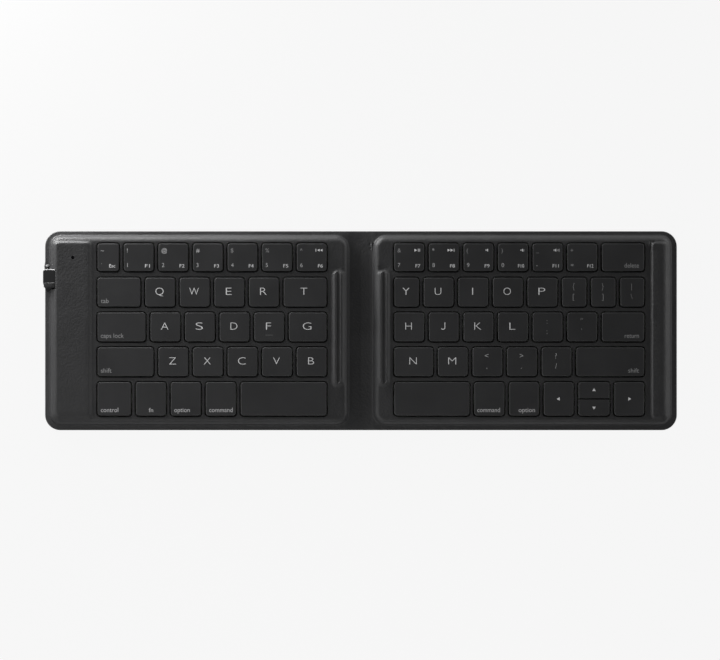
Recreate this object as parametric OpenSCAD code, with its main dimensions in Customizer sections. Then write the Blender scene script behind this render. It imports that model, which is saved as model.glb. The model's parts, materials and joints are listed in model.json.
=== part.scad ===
// Folding keyboard in a leather cover: two padded halves joined by a leather spine.
// +X is to the typist's right, +Y is away from the typist, +Z is up.
// The origin is on the underside, at the middle of the spine. Sizes are in millimetres.

/* [Padded halves] */
// Width of the flat sewn edge along the outer side of each padded body
edge_w = 2.35; // [1.8:0.05:2.7]
// Width of the flat sewn edge along the back
back_edge_w = 1.8; // [1.5:0.1:2.4]
// Width of the flat sewn edge along the front
front_edge_w = 2.6; // [2:0.1:3.2]
// Radius of the four outer corners
corner_r = 7.3; // [5:0.1:10]
// Height of the leather deck between the keys
deck_h = 5; // [4.8:0.1:6]
// Width of the rounded shoulder round the deck
shoulder_w = 2.8; // [2:0.1:3.2]
// Radius of the padded bodies' outer corners
body_outer_r = 5; // [4.6:0.1:8]
// Radius of the padded bodies' corners beside the spine
body_inner_r = 6; // [3.9:0.1:7]
// Leather between the back edge and the first row's windows
back_margin = 5.4; // [5:0.05:9]
// Leather between the space bar row's windows and the front edge
front_margin = 6.5; // [6.2:0.05:12]
// Leather between the left half's windows and the battery strip
strip_margin = 2.1; // [0.5:0.05:5]

/* [Sheets] */
// Thickness of the bottom cover
bottom_t = 0.6; // [0.4:0.05:0.7]
// Thickness of the top cover
skin_t = 0.8; // [0.75:0.05:0.9]
// Thickness of the steel base plate
plate_t = 0.4; // [0.3:0.05:0.5]
// Thickness of the switch membrane
membrane_t = 0.25; // [0.15:0.05:0.35]
// Distance of the base plate's edge inside the padded body's foot
plate_inset = 2.2; // [2:0.1:2.4]

/* [Fold] */
// Gap left between the raised strips when the keyboard is closed
closed_gap = 0.2; // [0.15:0.05:1]
// Clearance of the spine in the edge of each half
fold_clear = 0.1; // [0.08:0.01:0.2]
// Width of the flat cable that crosses the spine
flex_w = 10; // [6:0.5:14]
// How far the flat cable reaches past the spine into each half
flex_in = 8; // [6:0.5:9]
// Distance of the flat cable's middle from the back edge
flex_back = 14; // [13:0.5:20]

/* [Raised strips] */
// Height of the raised strips and bars above the deck
strip_h = 1; // [0.8:0.1:1.4]
// Width of the sloping side of an end strip
strip_slope = 1.5; // [1.2:0.1:2]
// Distance of the battery strip from the outer edge
strip_inset = 4.4; // [4.2:0.1:5]
// Distance of the right half's end strip from the outer edge
right_strip_inset = 5.65; // [4.4:0.05:5.8]
// Distance of the end strips from the front and back edges
strip_end_inset = 4.9; // [4.5:0.1:6]
// Width of the end strip on the right half
right_strip_w = 7.1; // [7:0.1:8.5]
// Corner radius of the end strips
strip_r = 3; // [2.5:0.1:3.2]
// Width of the raised bar beside the fold, at its foot
bar_w = 6.8; // [6:0.1:9]
// Length of the raised bar beside the fold
bar_l = 55; // [30:1:70]
// Width of the sloping sides of the raised bar
bar_slope = 2.2; // [1.2:0.1:2.3]
// Distance of the raised bar's foot from the foot of the padded body
bar_inset = 1.25; // [1:0.05:3]
// Distance of the bar's middle behind the middle of the keyboard
bar_y = 1; // [-4:0.5:4]

/* [Keys] */
// Distance between the middles of two letter keys
key_pitch = 16.5; // [15.5:0.1:19]
// Width of the leather web between two windows of a row
web_w = 1.3; // [0.9:0.05:1.5]
// Width of the leather web between two rows of letters
row_web = 1.8; // [1:0.05:3]
// Width of the leather web in front of the number row
number_web = 2.1; // [1:0.05:4]
// Depth of the windows in the number row
number_row_d = 14.2; // [14:0.1:18]
// Depth of the windows in the three letter rows
letter_row_d = 14.8; // [14:0.1:18]
// Depth of the windows in the space bar row
space_row_d = 17; // [16.6:0.1:20]
// Leather between the left half's raised bar and its windows
left_keys_gap = 1.65; // [0.8:0.05:4]
// Leather between the right half's raised bar and its windows
right_keys_gap = 1.15; // [0.5:0.05:2]
// Corner radius of a window
window_r = 1.9; // [1.3:0.05:2.4]
// Gap between a key cap and the edge of its window
key_gap = 0.5; // [0.3:0.05:0.7]
// Gap between the caps of the up and down arrows
split_gap = 0.6; // [0.4:0.05:0.8]
// How far the caps stand above the deck
key_lift = 0.6; // [0.4:0.05:0.9]
// How far a key travels when it is pressed
key_travel = 1.3; // [1:0.05:1.35]
// Thickness of a cap's top
cap_top_t = 1; // [0.8:0.05:1.1]
// Thickness of a cap's sides
cap_wall = 0.9; // [0.6:0.05:1]
// Depth of a cap from its top to the lower edge of its sides
cap_h = 2.7; // [2.4:0.05:2.8]
// Width of the bevel round the top of a cap
cap_bevel = 0.35; // [0.1:0.05:0.5]

/* [Key mechanism] */
// Width of the outer scissor lever
lever_w = 8; // [7.8:0.1:8.2]
// Distance between the two round ends of a lever, seen from above
lever_span = 8.8; // [8:0.1:9]
// Width of the lever arms
arm_w = 0.7; // [0.5:0.05:0.75]
// Height of the lever arms
arm_h = 0.7; // [0.55:0.05:0.75]
// Diameter of the round ends of the levers
lever_pin_d = 0.8; // [0.78:0.02:0.84]
// Diameter of the pivot in the middle of the levers
pivot_d = 0.4; // [0.3:0.02:0.44]
// Running clearance round the levers' ends and pivots
pivot_clear = 0.05; // [0.03:0.01:0.06]
// Gap between the arms of the inner and the outer lever
lever_gap = 0.1; // [0.05:0.05:0.15]
// Width of the hooks and clips that hold the levers
hook_w = 3; // [2:0.1:3.2]
// Thickness of the base plate's hooks
hook_t = 0.25; // [0.2:0.05:0.3]
// Diameter of a rubber dome at its foot
dome_d = 4.8; // [4:0.1:4.9]
// Diameter of a rubber dome at its top
dome_top_d = 2.6; // [2:0.1:3]
// Thickness of a dome's wall
dome_wall = 0.35; // [0.25:0.05:0.4]
// Width of the smaller levers under the up and down arrows
small_lever_w = 5.4; // [5.3:0.1:5.6]
// Diameter of the smaller domes at their foot
small_dome_d = 2.2; // [2:0.1:2.3]
// Diameter of the smaller domes at their top
small_dome_top_d = 1.3; // [1.1:0.1:1.5]
// Widest window that one pair of levers serves
one_pair_max = 29; // [28:1:34]

/* [Key frame] */
// Gap between the frame and the leather, plate and surround beside it
frame_gap = 0.05; // [0.03:0.01:0.1]
// How far a well in the frame stands back from the window above it
well_gap = 0.1; // [0:0.05:0.15]
// Thickness of the frame's roof over the electronics bay
roof_t = 0.8; // [0.6:0.05:0.9]
// Frame over the magnets
magnet_roof = 0.4; // [0.3:0.05:0.6]
// Frame left between the magnets and the electronics bay
bay_wall = 0.8; // [0.6:0.1:1.4]

/* [Electronics] */
// Width of the battery
battery_w = 13; // [9:0.1:16]
// Room for the leads between the battery and the main board
lead_room = 2.3; // [1.5:0.1:4]
// Thickness of the battery
battery_t = 2.9; // [2.4:0.1:3.1]
// Gap round the battery and the board in the electronics bay
bay_gap = 0.3; // [0.2:0.05:0.6]
// Length of the main board
board_l = 19.5; // [18:0.5:20]
// Thickness of the main board
board_t = 0.8; // [0.6:0.1:1]
// Distance of the charging port's middle from the back edge
port_back = 23.1; // [22.5:0.1:24]
// Width of the charging receptacle's steel shell
port_w = 7.5; // [7.3:0.05:7.6]
// Height of the charging receptacle's steel shell
port_h = 2.45; // [2.3:0.05:2.5]
// Length of the charging receptacle
port_l = 5; // [4.6:0.1:5.2]
// Thickness of the receptacle's shell
port_wall = 0.3; // [0.25:0.05:0.35]
// How far the port's surround stands out past the leather edge
surround_out = 0.8; // [0.6:0.1:1.4]
// How far the port's surround reaches in from the leather edge
surround_in = 5.1; // [4.8:0.1:5.4]
// Width of the port's surround along the edge, at its foot
surround_w = 10.8; // [10.4:0.1:11.6]
// Plastic above the receptacle in the surround
surround_roof = 0.8; // [0.6:0.05:1]
// Diameter of the light pipe
lens_d = 1.5; // [1:0.1:1.6]
// Distance of the light pipe from the outer edge
lens_in = 13.4; // [12:0.1:14]
// Distance of the light pipe from the back edge
lens_back = 12.6; // [12.6:0.1:13.6]
// How far the light pipe sits below the top of the strip
lens_sink = 0.35; // [0.1:0.05:0.6]
// Diameter of the closing magnets
magnet_d = 4; // [3:0.1:4.2]
// Height of the closing magnets
magnet_h = 2; // [1:0.1:2.2]
// Distance of the magnets from the outer edge
magnet_in = 8.4; // [8:0.1:10]
// Distance of the magnets from the front and back edges
magnet_end = 8.5; // [8:0.1:9]

/* [Hidden] */
$fn = 40;
over = 1; // how far a cutting shape runs past what it cuts

// Rows of keys from the back to the front. A key is [name, width in key pitches].
LEFT_ROWS = [
    [["grave", 0.76], ["1", 1], ["2", 1], ["3", 1], ["4", 1], ["5", 1], ["6", 1]],
    [["tab", 1.38], ["q", 1], ["w", 1], ["e", 1], ["r", 1], ["t", 1.38]],
    [["caps", 1.53], ["a", 1], ["s", 1], ["d", 1], ["f", 1], ["g", 1.23]],
    [["left_shift", 1.76], ["z", 1], ["x", 1], ["c", 1], ["v", 1], ["b", 1]],
    [["control", 1.11], ["fn", 1.01], ["left_option", 1.01], ["left_command", 1.01],
     ["left_space", 2.62]]
];
RIGHT_ROWS = [
    [["7", 1], ["8", 1], ["9", 1], ["0", 1], ["minus", 1], ["equals", 1], ["delete", 1.36]],
    [["y", 0.85], ["u", 1], ["i", 1], ["o", 1], ["p", 1],
     ["left_bracket", 0.84], ["right_bracket", 0.84], ["backslash", 0.83]],
    [["h", 1], ["j", 1], ["k", 1], ["l", 1], ["semicolon", 1], ["quote", 1], ["return", 1.36]],
    [["n", 1.26], ["m", 1], ["comma", 1], ["period", 1], ["slash", 1], ["right_shift", 2.1]],
    [["right_space", 2.31], ["right_command", 1.01], ["right_option", 1], ["arrow_left", 1],
     ["up_down", 1.04], ["arrow_right", 1]]
];
NUMBERS = ["grave", "1", "2", "3", "4", "5", "6", "7", "8", "9", "0", "minus", "equals", "delete"];
PUNCTUATION = ["left_bracket", "right_bracket", "backslash", "semicolon", "quote", "comma",
               "period", "slash"];
MODIFIERS = ["tab", "caps", "left_shift", "control", "fn", "left_option", "left_command",
             "return", "right_shift", "right_command", "right_option"];

function sum_to(list, n) = n <= 0 ? 0 : list[n - 1] + sum_to(list, n - 1);
function pitches(row) = [for (key = row) key[1]];
function row_width(row) = sum_to(pitches(row), len(row)) * key_pitch - web_w;

// Overall sizes, built up from the middle of the spine to the outer edge.
rim_t = bottom_t + skin_t;
strip_top = deck_h + strip_h;
axis_z = rim_t / 2;
axis_x = strip_top - axis_z + closed_gap / 2;
body_x0 = axis_x + axis_z + fold_clear;
bar_x1 = body_x0 + bar_inset + bar_w;
left_keys_x = bar_x1 + left_keys_gap;
right_keys_x = bar_x1 + right_keys_gap;
battery_strip_w = battery_w + 2 * (bay_gap + skin_t + strip_slope);
half_w = left_keys_x + row_width(LEFT_ROWS[0]) + strip_margin + battery_strip_w + strip_inset;
row_depths = [number_row_d, letter_row_d, letter_row_d, letter_row_d, space_row_d];
row_webs = [number_web, row_web, row_web, row_web];
depth = back_margin + sum_to(row_depths, 5) + sum_to(row_webs, 4) + front_margin;
body_x1 = half_w - edge_w;
body_y0 = front_edge_w - depth / 2;
body_y1 = depth / 2 - back_edge_w;

// Windows of one half as [name, x0, x1, y0, y1]. side is -1 on the left half, 1 on the right.
function row_back(n) = depth / 2 - back_margin - sum_to(row_depths, n) - sum_to(row_webs, n);
function windows(rows, inner_x, side) = [
    for (n = [0:len(rows) - 1], k = [0:len(rows[n]) - 1])
        let (start = side > 0 ? inner_x : -inner_x - row_width(rows[n]),
             x0 = start + sum_to(pitches(rows[n]), k) * key_pitch)
        [rows[n][k][0], x0, x0 + rows[n][k][1] * key_pitch - web_w,
         row_back(n) - row_depths[n], row_back(n)]
];
LEFT_WINDOWS = windows(LEFT_ROWS, left_keys_x, -1);
RIGHT_WINDOWS = windows(RIGHT_ROWS, right_keys_x, 1);
function among(window, names) = len([for (name = names) if (name == window[0]) name]) > 0;
function window_mid(w) = [(w[1] + w[2]) / 2, (w[3] + w[4]) / 2];

// Heights of the sheets and of the key mechanism.
plate_top = bottom_t + plate_t;
membrane_top = plate_top + membrane_t;
key_top = deck_h + key_lift;
cap_under = key_top - cap_top_t;
pin_r = lever_pin_d / 2;
pin_roof = 0.1; // plastic between a lever's upper end and the top of its cap
low_pin_z = membrane_top + pin_r;
high_pin_z = cap_under - pin_roof - pin_r;
lever_rise = high_pin_z - low_pin_z;
lever_l = sqrt(lever_span * lever_span + lever_rise * lever_rise);
lever_angle = atan(lever_rise / lever_span);
clip_wall = 0.3; // plastic round a lever's end in the clips under a cap
ring_h = 0.5; // ring under a cap that centres its dome
ring_wall = 0.5;
cap_r = window_r - key_gap;

// Electronics bay, under the battery strip of the left half.
bay_x1 = half_w - strip_inset - skin_t - strip_slope;
bay_x0 = bay_x1 - battery_w - 2 * bay_gap;
bay_y1 = depth / 2 - magnet_end - magnet_d / 2 - frame_gap - bay_wall;
bay_top = strip_top - skin_t - roof_t;
magnet_top = deck_h - skin_t - magnet_roof;
board_y1 = bay_y1 - bay_gap;
board_y0 = board_y1 - board_l;
battery_y0 = -bay_y1 + bay_gap;
battery_y1 = board_y0 - lead_room;
board_top = membrane_top + board_t;
port_y = depth / 2 - port_back;
port_x1 = half_w + surround_out - 0.3; // mouth of the receptacle, set back in its surround
port_mid_z = board_top + port_h / 2;
surround_top = board_top + port_h + surround_roof;
lamp_top = board_top + 0.7;
lens_x = half_w - lens_in;
lens_y = depth / 2 - lens_back;
flex_t = 2 * (axis_z - bottom_t);
flex_x = body_x0 + flex_in;
flex_y = depth / 2 - flex_back;

// ---- Shapes shared by several pieces ----

module rounded_rect(x0, x1, y0, y1, r) {
    translate([x0 + r, y0]) square([x1 - x0 - 2 * r, y1 - y0]);
    translate([x0, y0 + r]) square([x1 - x0, y1 - y0 - 2 * r]);
    for (x = [x0 + r, x1 - r], y = [y0 + r, y1 - r]) translate([x, y]) circle(r);
}

// A section drawn in Y and Z, drawn out along X from x0 to x1.
module along_x(x0, x1) {
    translate([x0, 0, 0]) rotate([90, 0, 90]) linear_extrude(x1 - x0) children();
}

// A section drawn in X and Z, drawn out along Y from y0 to y1.
module along_y(y0, y1) {
    translate([0, y1, 0]) rotate([90, 0, 0]) linear_extrude(y1 - y0) children();
}

// A rounded block whose sides follow a profile of [inset, height] points, listed upwards.
// r0 rounds the corners at x0, and r1 those at x1.
module shaped_block(x0, x1, y0, y1, r0, r1, profile) {
    last = len(profile) - 1;
    low = profile[0][1];
    high = profile[last][1];
    rising = [for (p = profile) [y0 + p[0], p[1]]];
    falling = [for (i = [last:-1:0]) [y1 - profile[i][0], profile[i][1]]];
    along_x(x0 + r0, x1 - r1) polygon(concat(rising, falling));
    along_y(y0 + r0, y1 - r0)
        polygon(concat([for (p = profile) [x0 + p[0], p[1]]], [[x0 + r0, high], [x0 + r0, low]]));
    along_y(y0 + r1, y1 - r1)
        polygon(concat([for (p = profile) [x1 - p[0], p[1]]], [[x1 - r1, high], [x1 - r1, low]]));
    for (corner = [[x0 + r0, y0 + r0, 180, r0], [x1 - r1, y0 + r1, 270, r1],
                   [x1 - r1, y1 - r1, 0, r1], [x0 + r0, y1 - r0, 90, r0]])
        translate([corner[0], corner[1], 0]) rotate([0, 0, corner[2]]) rotate_extrude(angle = 90)
            polygon(concat([for (p = profile) [corner[3] - p[0], p[1]]], [[0, high], [0, low]]));
}

// A rounded shoulder, as a parabola that rises from the foot and meets the deck level.
function shoulder(width, height, z, steps = 6) =
    [for (i = [0:steps]) let (t = i / steps) [width * t, z + height * t * (2 - t)]];

// A soft slope that leaves the deck and meets the top of a strip level.
function ramp(width, height, z, steps = 4) =
    [for (i = [0:steps]) let (t = i / steps) [width * t, z + height * (1 - cos(180 * t)) / 2]];

// The shapes of a half are drawn at +X and mirrored for the left half.
// The padded body, shrunk by side from its sides and by top from its deck.
module padded_body(side, top, low) {
    shaped_block(body_x0 + side, body_x1 - side, body_y0 + side, body_y1 - side,
                 max(body_inner_r - side, shoulder_w + 0.1),
                 max(body_outer_r - side, shoulder_w + 0.1),
                 concat([[0, low]], shoulder(shoulder_w, deck_h - top - rim_t, rim_t)));
}

// A raised strip on the deck, shrunk in the same way.
module raised_strip(x0, x1, y0, y1, r, slope, side, top) {
    shaped_block(x0 + side, x1 - side, y0 + side, y1 - side,
                 max(r - side, slope + 0.1), max(r - side, slope + 0.1),
                 concat([[0, deck_h - top - skin_t / 2]], ramp(slope, strip_h, deck_h - top)));
}

module raised_strips(end_w, end_inset, side, top) {
    raised_strip(half_w - end_inset - end_w, half_w - end_inset,
                 -depth / 2 + strip_end_inset, depth / 2 - strip_end_inset,
                 strip_r, strip_slope, side, top);
    raised_strip(bar_x1 - bar_w, bar_x1, bar_y - bar_l / 2, bar_y + bar_l / 2,
                 bar_slope + 0.1, bar_slope, side, top);
}

// Outline of the leather of a half, with its inner edge at x0.
module half_outline(x0) {
    translate([x0, -depth / 2]) square([half_w - corner_r - x0, depth]);
    translate([x0, corner_r - depth / 2]) square([half_w - x0, depth - 2 * corner_r]);
    for (side = [-1, 1])
        translate([half_w - corner_r, side * (depth / 2 - corner_r)]) circle(corner_r);
}

// Outline of the base plate, grown by a gap.
module plate_outline(gap) {
    inset = plate_inset - gap;
    rounded_rect(body_x0 + inset, body_x1 - inset, body_y0 + inset, body_y1 - inset,
                 plate_inset);
}

// Room for the flat cable across the fold, up to a height of top.
module flex_room(top) {
    translate([-flex_x - over, flex_y - flex_w / 2 - frame_gap, bottom_t - over])
        cube([2 * (flex_x + over), flex_w + 2 * frame_gap, top - bottom_t + over]);
}

// Holes through a cover or a frame, one for each window, grown by a gap.
module window_cuts(list, gap) {
    translate([0, 0, bottom_t]) linear_extrude(strip_top)
        for (w = list)
            rounded_rect(w[1] - gap, w[2] + gap, w[3] - gap, w[4] + gap, window_r);
}

// The port's surround as a solid: a steep back, a gentle front and rounded outer corners.
module surround_shape(gap) {
    back = port_y + surround_w / 2 + gap;
    front = port_y - surround_w / 2 - gap;
    top = surround_top + gap;
    outer = half_w + surround_out + gap;
    inner = half_w - surround_in - gap;
    intersection() {
        along_x(inner, outer)
            polygon([[front, bottom_t], [front, rim_t + 0.2], [front + 1.6, top - 0.7],
                     [front + 2.4, top], [back - 0.9, top], [back - 0.4, top - 0.5],
                     [back, rim_t], [back, bottom_t]]);
        translate([0, 0, bottom_t]) linear_extrude(strip_top)
            polygon([[inner, front], [half_w - 0.6, front], [outer - 0.4, front + 2.6],
                     [outer, front + 4], [outer, back - 1.6], [outer - 0.5, back - 0.5],
                     [half_w - 0.4, back], [inner, back]]);
    }
}

// ---- Covers and spine ----

module bottom_cover() {
    color("#37373a") difference() {
        linear_extrude(bottom_t) half_outline(axis_x + fold_clear);
        translate([axis_x, 0, axis_z]) rotate([90, 0, 0])
            cylinder(r = axis_z + fold_clear, h = depth + 2 * over, center = true);
    }
}

module top_cover(end_w, end_inset) {
    difference() {
        union() {
            translate([0, 0, bottom_t]) linear_extrude(skin_t) half_outline(body_x0);
            padded_body(0, 0, bottom_t);
            raised_strips(end_w, end_inset, 0, 0);
        }
        padded_body(skin_t, skin_t, bottom_t - over);
        raised_strips(end_w, end_inset, skin_t, skin_t);
    }
}

module left_bottom_cover() mirror([1, 0, 0]) bottom_cover();

module left_top_cover() {
    color("#3a3a3d") difference() {
        mirror([1, 0, 0]) difference() {
            top_cover(battery_strip_w, strip_inset);
            surround_shape(frame_gap);
            translate([lens_x, lens_y, deck_h]) cylinder(d = lens_d + 2 * frame_gap, h = strip_top);
        }
        window_cuts(LEFT_WINDOWS, 0);
        flex_room(bottom_t + flex_t + frame_gap);
    }
}

module right_bottom_cover() bottom_cover();

module right_top_cover() {
    color("#29292c") difference() {
        top_cover(right_strip_w, right_strip_inset);
        window_cuts(RIGHT_WINDOWS, 0);
        flex_room(bottom_t + flex_t + frame_gap);
    }
}

// The spine is as thick as the sewn edge, and its round edges turn in the halves' edges.
module spine_cover() {
    color("#262628") difference() {
        along_y(-depth / 2, depth / 2) {
            translate([-axis_x, 0]) square([2 * axis_x, rim_t]);
            for (x = [-axis_x, axis_x]) translate([x, axis_z]) circle(axis_z);
        }
        translate([-flex_x, flex_y - flex_w / 2 - frame_gap, bottom_t])
            cube([2 * flex_x, flex_w + 2 * frame_gap, flex_t + frame_gap / 2]);
    }
}

// A flat cable on the fold's neutral line, with a contact pad under each membrane.
module flex_cable() {
    pad_l = 4; // length of a contact pad
    color("#b8752c") {
        translate([-flex_x, flex_y - flex_w / 2, bottom_t]) cube([2 * flex_x, flex_w, flex_t]);
        for (side = [-1, 1])
            translate([side * (flex_x - pad_l / 2), flex_y, (bottom_t + plate_top) / 2])
                cube([pad_l, flex_w - 1, plate_t], center = true);
    }
}

// ---- Frames, plates and membranes ----

module magnet_place() {
    for (side = [-1, 1])
        translate([half_w - magnet_in, side * (depth / 2 - magnet_end), 0]) children();
}

module frame_half(end_w, end_inset) {
    difference() {
        union() {
            padded_body(skin_t + frame_gap, skin_t, bottom_t);
            raised_strips(end_w, end_inset, skin_t + frame_gap, skin_t);
        }
        translate([0, 0, bottom_t - over]) linear_extrude(plate_t + membrane_t + over)
            plate_outline(frame_gap);
        magnet_place() translate([0, 0, bottom_t])
            cylinder(d = magnet_d + 2 * frame_gap, h = magnet_top - bottom_t);
    }
}

module left_frame() {
    color("#202022") difference() {
        mirror([1, 0, 0]) difference() {
            frame_half(battery_strip_w, strip_inset);
            translate([bay_x0, -bay_y1, bottom_t])
                cube([bay_x1 - bay_x0, 2 * bay_y1, bay_top - bottom_t]);
            surround_shape(frame_gap);
            board_tongue(frame_gap, surround_top - membrane_top);
            translate([lens_x, lens_y, bottom_t]) cylinder(d = lens_d + 2 * frame_gap, h = strip_top);
        }
        window_cuts(LEFT_WINDOWS, well_gap);
        flex_room(bottom_t + flex_t + frame_gap);
    }
}

module right_frame() {
    color("#202022") difference() {
        frame_half(right_strip_w, right_strip_inset);
        window_cuts(RIGHT_WINDOWS, well_gap);
        flex_room(bottom_t + flex_t + frame_gap);
    }
}

// Places of the lever pairs under a key, as [x, y, turn].
function lever_places(w) =
    let (mid = window_mid(w), wide = w[2] - w[1], quarter = (w[4] - w[3] + split_gap) / 4)
    w[0] == "up_down" ? [[mid[0], mid[1] - quarter, 90], [mid[0], mid[1] + quarter, 90]] :
    wide > one_pair_max ? [[mid[0] - wide / 4, mid[1], 0], [mid[0] + wide / 4, mid[1], 0]] :
    [[mid[0], mid[1], 0]];

module at_levers(w) {
    for (place = lever_places(w))
        translate([place[0], place[1], 0]) rotate([0, 0, place[2]]) children();
}

// A steel tab that rises through the membrane and bends over a lever's round end.
hook_y0 = lever_span / 2 + pin_r + pivot_clear;
hook_y1 = hook_y0 + hook_t;

// Width of an inner lever, and of a hook or clip that fits between its arms.
function inner_width(lever_w) = lever_w - 2 * (arm_w + lever_gap);
function hook_width(lever_w) = min(hook_w, inner_width(lever_w) - 2 * arm_w - 4 * pivot_clear);
function lever_width(w) = w[0] == "up_down" ? small_lever_w : lever_w;

module hook_pair(width) {
    lip_z = low_pin_z + pin_r + pivot_clear;
    for (turn = [0, 180]) rotate([0, 0, turn]) along_x(-width / 2, width / 2)
        polygon([[hook_y0, plate_top - plate_t / 2], [hook_y1, plate_top - plate_t / 2],
                 [hook_y1, lip_z + hook_t], [lever_span / 2 - pivot_clear, lip_z + hook_t],
                 [lever_span / 2 - pivot_clear, lip_z], [hook_y0, lip_z]]);
}

module base_plate(list) {
    difference() {
        translate([0, 0, bottom_t]) linear_extrude(plate_t) children();
        flex_room(plate_top + over);
    }
    for (w = list) at_levers(w) hook_pair(hook_width(lever_width(w)));
}

module membrane(list) {
    difference() {
        translate([0, 0, plate_top]) linear_extrude(membrane_t) children();
        for (w = list) at_levers(w) for (y = [-1, 1])
            translate([0, y * (hook_y0 + hook_y1) / 2, membrane_top])
                cube([hook_width(lever_width(w)) + 4 * frame_gap, hook_t + 4 * frame_gap,
                      2 * (membrane_t + over)], center = true);
    }
}

// The left membrane stops at the electronics bay, and a tail runs on under the board.
module left_membrane_outline() {
    tail_w = 9; // width of the tail
    intersection() {
        plate_outline(0);
        translate([0, -depth / 2]) square([bay_x0 - bay_gap, depth]);
    }
    translate([bay_x0 - over, port_y - tail_w / 2]) square([bay_x1 - bay_x0, tail_w]);
}

module left_base_plate() {
    color("#8d9094") difference() {
        base_plate(LEFT_WINDOWS) mirror([1, 0, 0]) plate_outline(0);
        mirror([1, 0, 0]) surround_shape(frame_gap);
    }
}

module right_base_plate() color("#8d9094") base_plate(RIGHT_WINDOWS) plate_outline(0);
module left_membrane() color("#c9d2c4") membrane(LEFT_WINDOWS) mirror([1, 0, 0]) left_membrane_outline();
module right_membrane() color("#c9d2c4") membrane(RIGHT_WINDOWS) plate_outline(0);

// ---- Key mechanism ----

// One lever: two arms joined by a round bar at each end. Its far end rises with tilt above 0.
module lever(width, tilt) {
    translate([0, 0, (low_pin_z + high_pin_z) / 2]) rotate([tilt, 0, 0]) {
        for (side = [-1, 1]) {
            translate([side * (width - arm_w) / 2, 0, 0])
                cube([arm_w, lever_l, arm_h], center = true);
            translate([0, side * lever_l / 2, 0]) rotate([0, 90, 0])
                cylinder(d = lever_pin_d, h = width, center = true);
        }
    }
}

module pivot_axis(diameter, x0, x1) {
    translate([0, 0, (low_pin_z + high_pin_z) / 2]) for (side = [-1, 1])
        translate([side * (x0 + x1) / 2, 0, 0]) rotate([0, 90, 0])
            cylinder(d = diameter, h = x1 - x0, center = true);
}

module lever_pair(width) {
    inner_w = inner_width(width);
    difference() {
        lever(width, lever_angle);
        pivot_axis(pivot_d + 2 * pivot_clear, inner_w / 2, width / 2 + over);
    }
    lever(inner_w, -lever_angle);
    pivot_axis(pivot_d, inner_w / 2 - arm_w / 2, width / 2 - lever_gap);
}

module scissors(list) {
    color("#e6e6e2") for (w = list) at_levers(w) lever_pair(lever_width(w));
}

// A rubber dome with a nub inside that presses the membrane's contacts together.
module dome(foot_d, top_d) {
    foot_h = 0.3;
    neck_z = cap_under - ring_h - 0.2;
    roof_z = neck_z - dome_wall;
    nub_r = top_d / 5;
    nub_z = membrane_top + key_travel;
    foot_in = foot_d / 2 - foot_h / 2 - dome_wall;
    rotate_extrude()
        polygon([[0, nub_z], [nub_r, nub_z], [nub_r, roof_z], [top_d / 2 - dome_wall, roof_z],
                 [foot_in, membrane_top + foot_h], [foot_in, membrane_top], [foot_d / 2, membrane_top],
                 [foot_d / 2, membrane_top + foot_h / 2], [foot_d / 2 - foot_h / 2, membrane_top + foot_h],
                 [top_d / 2, neck_z], [top_d / 2, cap_under], [0, cap_under]]);
}

module domes(list) {
    color("#d8d8d0") for (w = list)
        if (w[0] == "up_down") for (place = lever_places(w))
            translate([place[0], place[1], 0]) dome(small_dome_d, small_dome_top_d);
        else translate(window_mid(w)) dome(dome_d, dome_top_d);
}

module left_domes() domes(LEFT_WINDOWS);
module left_scissors() scissors(LEFT_WINDOWS);
module right_domes() domes(RIGHT_WINDOWS);
module right_scissors() scissors(RIGHT_WINDOWS);

// ---- Key caps ----

// Clips under a cap that snap over the upper ends of a pair of levers.
module clip_pair(width) {
    bore_r = pin_r + pivot_clear;
    half = bore_r + clip_wall;
    for (side = [-1, 1]) along_x(-width / 2, width / 2)
        translate([side * lever_span / 2, high_pin_z]) difference() {
            translate([-half, -pin_r]) square([2 * half, cap_under + over / 4 - high_pin_z + pin_r]);
            circle(bore_r);
            translate([-pin_r * 0.8, -over]) square([pin_r * 1.6, over]);
        }
}

module dome_ring(top_d) {
    translate([0, 0, cap_under - ring_h]) difference() {
        cylinder(r = top_d / 2 + ring_wall, h = ring_h + over / 4);
        translate([0, 0, -over]) cylinder(r = top_d / 2 + frame_gap, h = ring_h + over);
    }
}

module cap_body(w) {
    shaped_block(w[1] + key_gap, w[2] - key_gap, w[3] + key_gap, w[4] - key_gap, cap_r, cap_r,
                 [[0, key_top - cap_h], [0, key_top - cap_bevel],
                  [cap_bevel * 0.3, key_top - cap_bevel * 0.3], [cap_bevel, key_top]]);
}

module cap_hollow(x0, x1, y0, y1) {
    translate([0, 0, key_top - cap_h - over]) linear_extrude(cap_h + over - cap_top_t)
        rounded_rect(x0, x1, y0, y1, max(cap_r - cap_wall, 0.3));
}

module key_cap(w) {
    inset = key_gap + cap_wall;
    difference() {
        cap_body(w);
        cap_hollow(w[1] + inset, w[2] - inset, w[3] + inset, w[4] - inset);
    }
    at_levers(w) clip_pair(hook_width(lever_w));
    translate(window_mid(w)) dome_ring(dome_top_d);
}

// The up and down arrows are one cap cut in two. side is 1 for up and -1 for down.
module split_cap(w, side) {
    inset = key_gap + cap_wall;
    mid_y = window_mid(w)[1];
    near = mid_y + side * split_gap / 2;
    place = lever_places(w)[side > 0 ? 1 : 0];
    difference() {
        cap_body(w);
        translate([w[1] - over, side > 0 ? w[3] - over : near, 0])
            cube([w[2] - w[1] + 2 * over, abs(near - (side > 0 ? w[3] : w[4])) + over, key_top + over]);
        if (side > 0) cap_hollow(w[1] + inset, w[2] - inset, near + cap_wall, w[4] - inset);
        else cap_hollow(w[1] + inset, w[2] - inset, w[3] + inset, near - cap_wall);
    }
    translate([place[0], place[1], 0]) {
        rotate([0, 0, 90]) clip_pair(hook_width(small_lever_w));
        dome_ring(small_dome_top_d);
    }
}

module keys(list, names) {
    color("#2b2b2e") for (w = list) if (among(w, names)) key_cap(w);
}

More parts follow.
